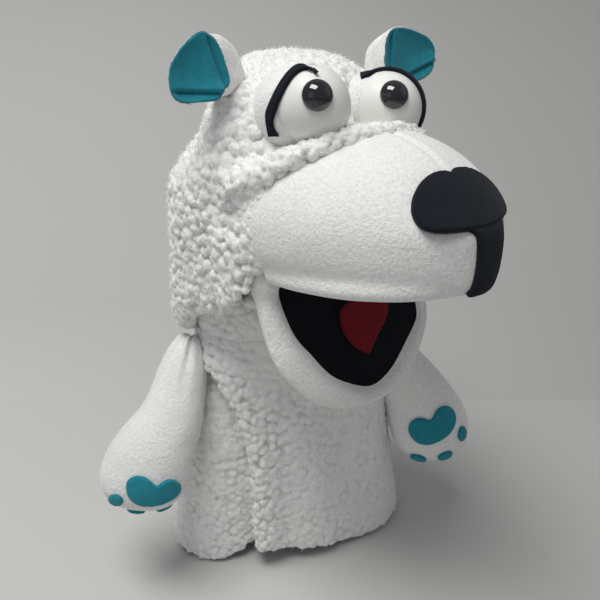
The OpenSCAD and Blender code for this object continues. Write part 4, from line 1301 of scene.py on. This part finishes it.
def swollen(mesh, held, far):
    """Cloth filled with stuffing: it swells under pressure, held where held is 1, and by no more than far."""
    start = points_of(mesh)
    helper = link("helper", mesh)
    group = helper.vertex_groups.new(name="held")
    for i in np.nonzero(held > 0.01)[0]:
        group.add([int(i)], float(held[i]), "REPLACE")
    cloth = helper.modifiers.new("cloth", "CLOTH")
    cloth.settings.quality = 6
    cloth.settings.use_pressure = True
    cloth.settings.uniform_pressure_force = 4
    cloth.settings.effector_weights.gravity = 0
    cloth.settings.vertex_group_mass = "held"
    cloth.point_cache.frame_start = 1
    cloth.point_cache.frame_end = SWELL_FRAMES
    for step in range(1, SWELL_FRAMES + 1):
        bpy.context.scene.frame_set(step)
    filled = baked(helper)
    moved = points_of(filled) - start
    length = np.maximum(np.linalg.norm(moved, axis=1, keepdims=True), 1e-9)
    move_points(filled, start + moved * np.minimum(1, far / length))
    bpy.context.scene.frame_set(1)
    return filled


stuffing = Finish("wadding")
wadding = stuffing.set(Base_Color=stuffing.blend(stuffing.noise(stuffing.place(), 300, 4, 0.7),
                                                 (0.86, 0.86, 0.85), (0.78, 0.78, 0.77)),
                       Roughness=0.95, Sheen_Weight=0.3)
arm_trees = {}
for name, rows in ARMS.items():
    line = smooth_line([np.array(at) * MM for at, _, _ in rows], ARM_STEPS)
    half = smooth_line([(wide * MM, deep * MM) for _, wide, deep in rows], ARM_STEPS) - 0.0008
    turn = circle(ARM_RINGS)[:, None]
    rings = []
    for p, t, (w, d) in zip(line, unit(np.gradient(line, axis=0)), half):
        wide = unit(ARM_WIDE - t * (t @ ARM_WIDE))
        rings.append(p + w * power(np.cos(turn), 0.95) * wide
                     + d * power(np.sin(turn), 0.95) * np.cross(t, wide))
    arm_mesh = remeshed(faced_out(lofted(rings)), ARM_VOXEL)
    arm_mesh = swollen(arm_mesh, part(points_of(arm_mesh)[:, 2], 0.150, 0.012), 0.005)
    arm_mesh = softened(with_modifier(arm_mesh, "SUBSURF", levels=2, render_levels=2), 3)
    co = points_of(arm_mesh)
    near = np.argmin(((co[:, None, :] - line[None]) ** 2).sum(2), axis=1)
    share = near / (ARM_STEPS - 1)
    spoke = co - line[near]
    swing = np.arctan2(spoke @ np.array((0.29, 0.956, 0)), spoke @ np.array((0.956, -0.29, 0)))
    gather = (np.sin(swing * 7 + share * 5) + 0.6 * np.sin(swing * 12 + 1)) * bell(share, 0, 0.22) * 0.0011
    lumps = slow_wave(co, 0.024, 91)[:, 0] * 0.0007 + slow_wave(co, 0.009, 92)[:, 0] * 0.00025
    move_points(arm_mesh, co + normals_of(arm_mesh) * (gather + lumps)[:, None])
    arm = new_piece("arm_cloth_" + name, arm_mesh, white_fleece, None,
                    ["arm_cover_" + name, "shoulder_" + name])
    arm_trees[name] = tree_of(points_of(arm_mesh), arm_mesh)
    wad_mesh = arm_mesh.copy()
    move_points(wad_mesh, co - normals_of(arm_mesh) * 0.0016)
    wad = new_piece("arm_wad_" + name, wad_mesh, wadding, None, ["arm_filling_" + name])
    for cloth in (arm, wad):
        "shoulder_" + name
        "arm_" + name
        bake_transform(cloth)


def laid_on(surface, matrix):
    """A cast that drops a frame's flat points, in millimetres, onto a surface."""
    down = matrix.to_3x3() @ Vector((0, 0, -1))

    def cast(x, y):
        place, normal, _, _ = surface.ray_cast(matrix @ Vector((x * MM, y * MM, 0.05)), down)
        if place is None:
            place, normal, _, _ = surface.find_nearest(matrix @ Vector((x * MM, y * MM, 0)))
        return place, normal
    return cast


def upright(place, normal):
    """A frame at a place, its z axis along the normal and its y axis upwards."""
    x = Vector((0, 0, 1)).cross(normal).normalized()
    out = Matrix((x, normal.cross(x), normal)).transposed().to_4x4()
    out.translation = place
    return out


# ---- The pads of the paws: turquoise felt ----
# A heart-shaped palm pad and three small ovals, cut from felt and glued on. The ovals stand along the paw's
# lower edge, in front of the palm pad.
PALMS = {
    "right": {"normal": (-0.023, -0.988, 0.150),
              "outline": [(-16, -1.5), (-15.6, 4.5), (-13.2, 7.8), (-9, 9.2), (-4.4, 8.2), (-0.6, 5),
                         (1.8, 1.8), (4.9, 2.8), (8.6, 4.2), (12.6, 2.8), (15.8, -1), (16.4, -5.5),
                         (14.2, -9.2), (9.5, -11.4), (3.6, -12.4), (-3.6, -12.2), (-9.8, -10.4),
                         (-13.8, -6.8)]},
    "left": {"normal": (-0.232, -0.956, 0.179),
             "outline": [(-15.8, -6), (-15.4, -0.3), (-12, 3.7), (-7.3, 4.8), (-3.6, 3.4), (-1.5, 3.4),
                         (0.3, 6.2), (2.6, 10.4), (6.5, 12.6), (11.4, 12), (15.6, 8), (17.3, 2.8),
                         (16.2, -2.6), (13, -7.6), (8, -11.8), (2.3, -14.9), (-3.3, -16.6), (-9, -15.5),
                         (-13.4, -11.6)]},
}
# Where each toe oval lies, its half length and half width, and how it is turned
TOES = {
    "right": [((-124, -48, 88), 5.8, 4.4, 35), ((-113, -44, 70), 6.2, 4.8, 5),
              ((-94, -44, 71), 6.2, 4.8, -15)],
    "left": [((121, -50, 89.5), 4.2, 6.0, 5), ((109.5, -50, 73), 5.6, 4.6, 30),
             ((92, -43, 68), 6.0, 5.2, -20)],
}
TOE_GAP = 0.9
for name, palm in PALMS.items():
    tree = arm_trees[name]
    palm_at = upright(seen_on(tree, *IMAGE_POINTS["paw_pad_" + name]), Vector(palm["normal"]).normalized())
    pad = cut_patch(palm["outline"], laid_on(tree, palm_at), TOE_GAP, 0.0024, smooth=10)
    new_piece("palm_felt_" + name, pad, turquoise_felt, "arm_" + name, ["paw_pad_" + name])
    ovals = []
    for at, long, short, turn in TOES[name]:
        place = tree.find_nearest(Vector(at) * MM)[0]
        toe_at = upright(place, tree.find_nearest(place)[1])
        a = np.radians(np.arange(0, 360, 30))
        c, d = math.cos(math.radians(turn)), math.sin(math.radians(turn))
        flat = np.column_stack([long * np.cos(a), short * np.sin(a)]) @ np.array([(c, d), (-d, c)])
        ovals.append(cut_patch(flat, laid_on(tree, toe_at), TOE_GAP, 0.0022, smooth=10))
    new_piece("toe_felt_" + name, joined(*ovals), turquoise_felt, "arm_" + name,
              ["toe_pads_" + name])

# ---- The nose: black felt ----
# One wide piece with two lobes at the top, and a strap that runs down from it to the lip. Both are cut from
# thick black felt and glued to the muzzle; the nose's lower right edge has come up a little.
NOSE = FACE @ Matrix.Translation((0, -0.146, 0.276)) @ Matrix.Rotation(math.radians(42), 4, "X")
FRONT = FACE @ Matrix.Translation((0, -0.146, 0.250)) @ Matrix.Rotation(math.radians(90), 4, "X")
NOSE_HALF = [(3.5, 19.8), (8.5, 20.3), (14.5, 19.2), (20.5, 16.8), (26, 12.6), (29.4, 7.5), (30.2, 2.5),
             (28.8, -2.4), (24.8, -6.3), (19, -9), (13, -10.6)]
nose_outline = ([(0, 18.2)] + NOSE_HALF + [(7, -12), (0, -12.4), (-7, -11.8)]
                + [(-x, y) for x, y in NOSE_HALF[::-1]])


def nose_lift(x, y):
    """How far the nose has come up at its lower right edge."""
    return 0.0022 * part(-x, 8, 14) * part(-y, -4, 10)


STRAP = [(-8, 23), (-5.6, 18), (-5.2, 10), (-5.8, 2), (-7.2, -5), (-8, -9.2), (4, -9.4), (9, -5), (12.5, 2),
         (14.4, 10), (15, 18), (15, 23)]
strap_mesh = cut_patch(STRAP, laid_on(muzzle_tree, FRONT), 1.0, 0.0026, smooth=10)
new_piece("nose_strap_felt", strap_mesh, black_felt, "head", ["nose_strap"])
nose_mesh = cut_patch(nose_outline, laid_on(muzzle_tree, NOSE), 1.0, 0.0032, nose_lift, smooth=14)
new_piece("nose_felt", nose_mesh, black_felt, "head", ["nose"])

# ---- What lies inside: foam, boards, bands and washers ----
# These pieces are covered by cloth and show only from below, at the sleeve's and the mouth's openings.
def plain_finish(name, light, dark, scale, depth, rough):
    """A material of two close shades with a grain."""
    stuff = Finish(name)
    grain = stuff.noise(stuff.place(), scale, 4, 0.65)
    return stuff.set(Base_Color=stuff.blend(grain, dark, light), Roughness=rough, Specular_IOR_Level=0.25,
                     Normal=stuff.bump(grain, depth, 0.5))


foam = plain_finish("foam", (0.80, 0.78, 0.70), (0.62, 0.60, 0.52), 900, 0.0006, 0.95)
board = plain_finish("board", (0.42, 0.33, 0.22), (0.34, 0.26, 0.17), 240, 0.0002, 0.8)
band = plain_finish("band", (0.10, 0.10, 0.11), (0.05, 0.05, 0.055), 1300, 0.0005, 0.85)
washer = plain_finish("washer", (0.55, 0.56, 0.57), (0.48, 0.49, 0.50), 120, 0.0001, 0.4)
core_mesh = reshaped("head_foam")
move_points(core_mesh, points_of(core_mesh) - normals_of(core_mesh) * 0.0012)
new_piece("head_core", core_mesh, foam, "head", ["head_foam"])
INSIDE = {"muzzle_foam": foam, "jaw_foam": foam, "neck_ring": foam, "upper_plate": board,
          "lower_plate": board, "finger_strap": band, "thumb_strap": band, "pupil_washer_right": washer,
          "pupil_washer_left": washer}
for name, stuff in INSIDE.items():
    for material_slot in nodes[name].material_slots:
        material_slot.material = stuff

# ---- The end ----
# How far each thing shows from its image point, and the size of all.
bpy.data.objects.remove(strand)
SHOWN_AS = {
    "pupil_right": "pupil_dome_right", "pupil_left": "pupil_dome_left",
    "ear_lining_right": "ear_felt_right", "ear_lining_left": "ear_felt_left",
    "nose": "nose_felt", "nose_strap": "nose_strap_felt", "tongue": "tongue_felt",
    "paw_pad_right": "palm_felt_right", "paw_pad_left": "palm_felt_left",
    "eye_rim_right": "eye_strip_right", "eye_rim_left": "eye_strip_left",
}


def seen_all(co):
    """Where the camera shows many points, in the picture's pixels."""
    local = (co - np.array(CAMERA_AT)) @ np.array(camera_axes)
    scale = max(IMAGE_W, IMAGE_H) * LENS_MM / SENSOR_MM / -local[:, 2]
    return np.column_stack([IMAGE_W / 2 + local[:, 0] * scale, IMAGE_H / 2 - local[:, 1] * scale])


graph = bpy.context.evaluated_depsgraph_get()
shown_all = np.concatenate([seen_all(points_of(piece.data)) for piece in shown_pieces()
                            if piece.type == "MESH" and "wisps" not in piece.name])
(edge_left, edge_top), (edge_right, edge_bottom) = shown_all.min(0), shown_all.max(0)
EDGES = {"object left": (edge_left, None), "object right": (edge_right, None), "object top": (None, edge_top),
         "object bottom": (None, edge_bottom)}


def middle_shown(piece):
    """The middle of the part of a piece that no other piece hides."""
    co = points_of(piece.data)
    co = co[:: max(1, len(co) // 700)]
    shown = []
    for p, at in zip(co, seen_all(co)):
        gap = Vector(p) - CAMERA_AT
        hit, _, _, _, struck, _ = bpy.context.scene.ray_cast(graph, CAMERA_AT, gap.normalized(),
                                                             distance=gap.length)
        if not hit or struck.name == piece.name:
            shown.append(at)
    shown = np.array(shown) if shown else seen_all(co)
    return (shown.min(0) + shown.max(0)) / 2


for name, wanted in IMAGE_POINTS.items():
    found = EDGES[name] if name in EDGES else middle_shown(bpy.data.objects[SHOWN_AS[name]])
    [None if w is None else round(float(f - w), 1) for f, w in zip(found, wanted)]
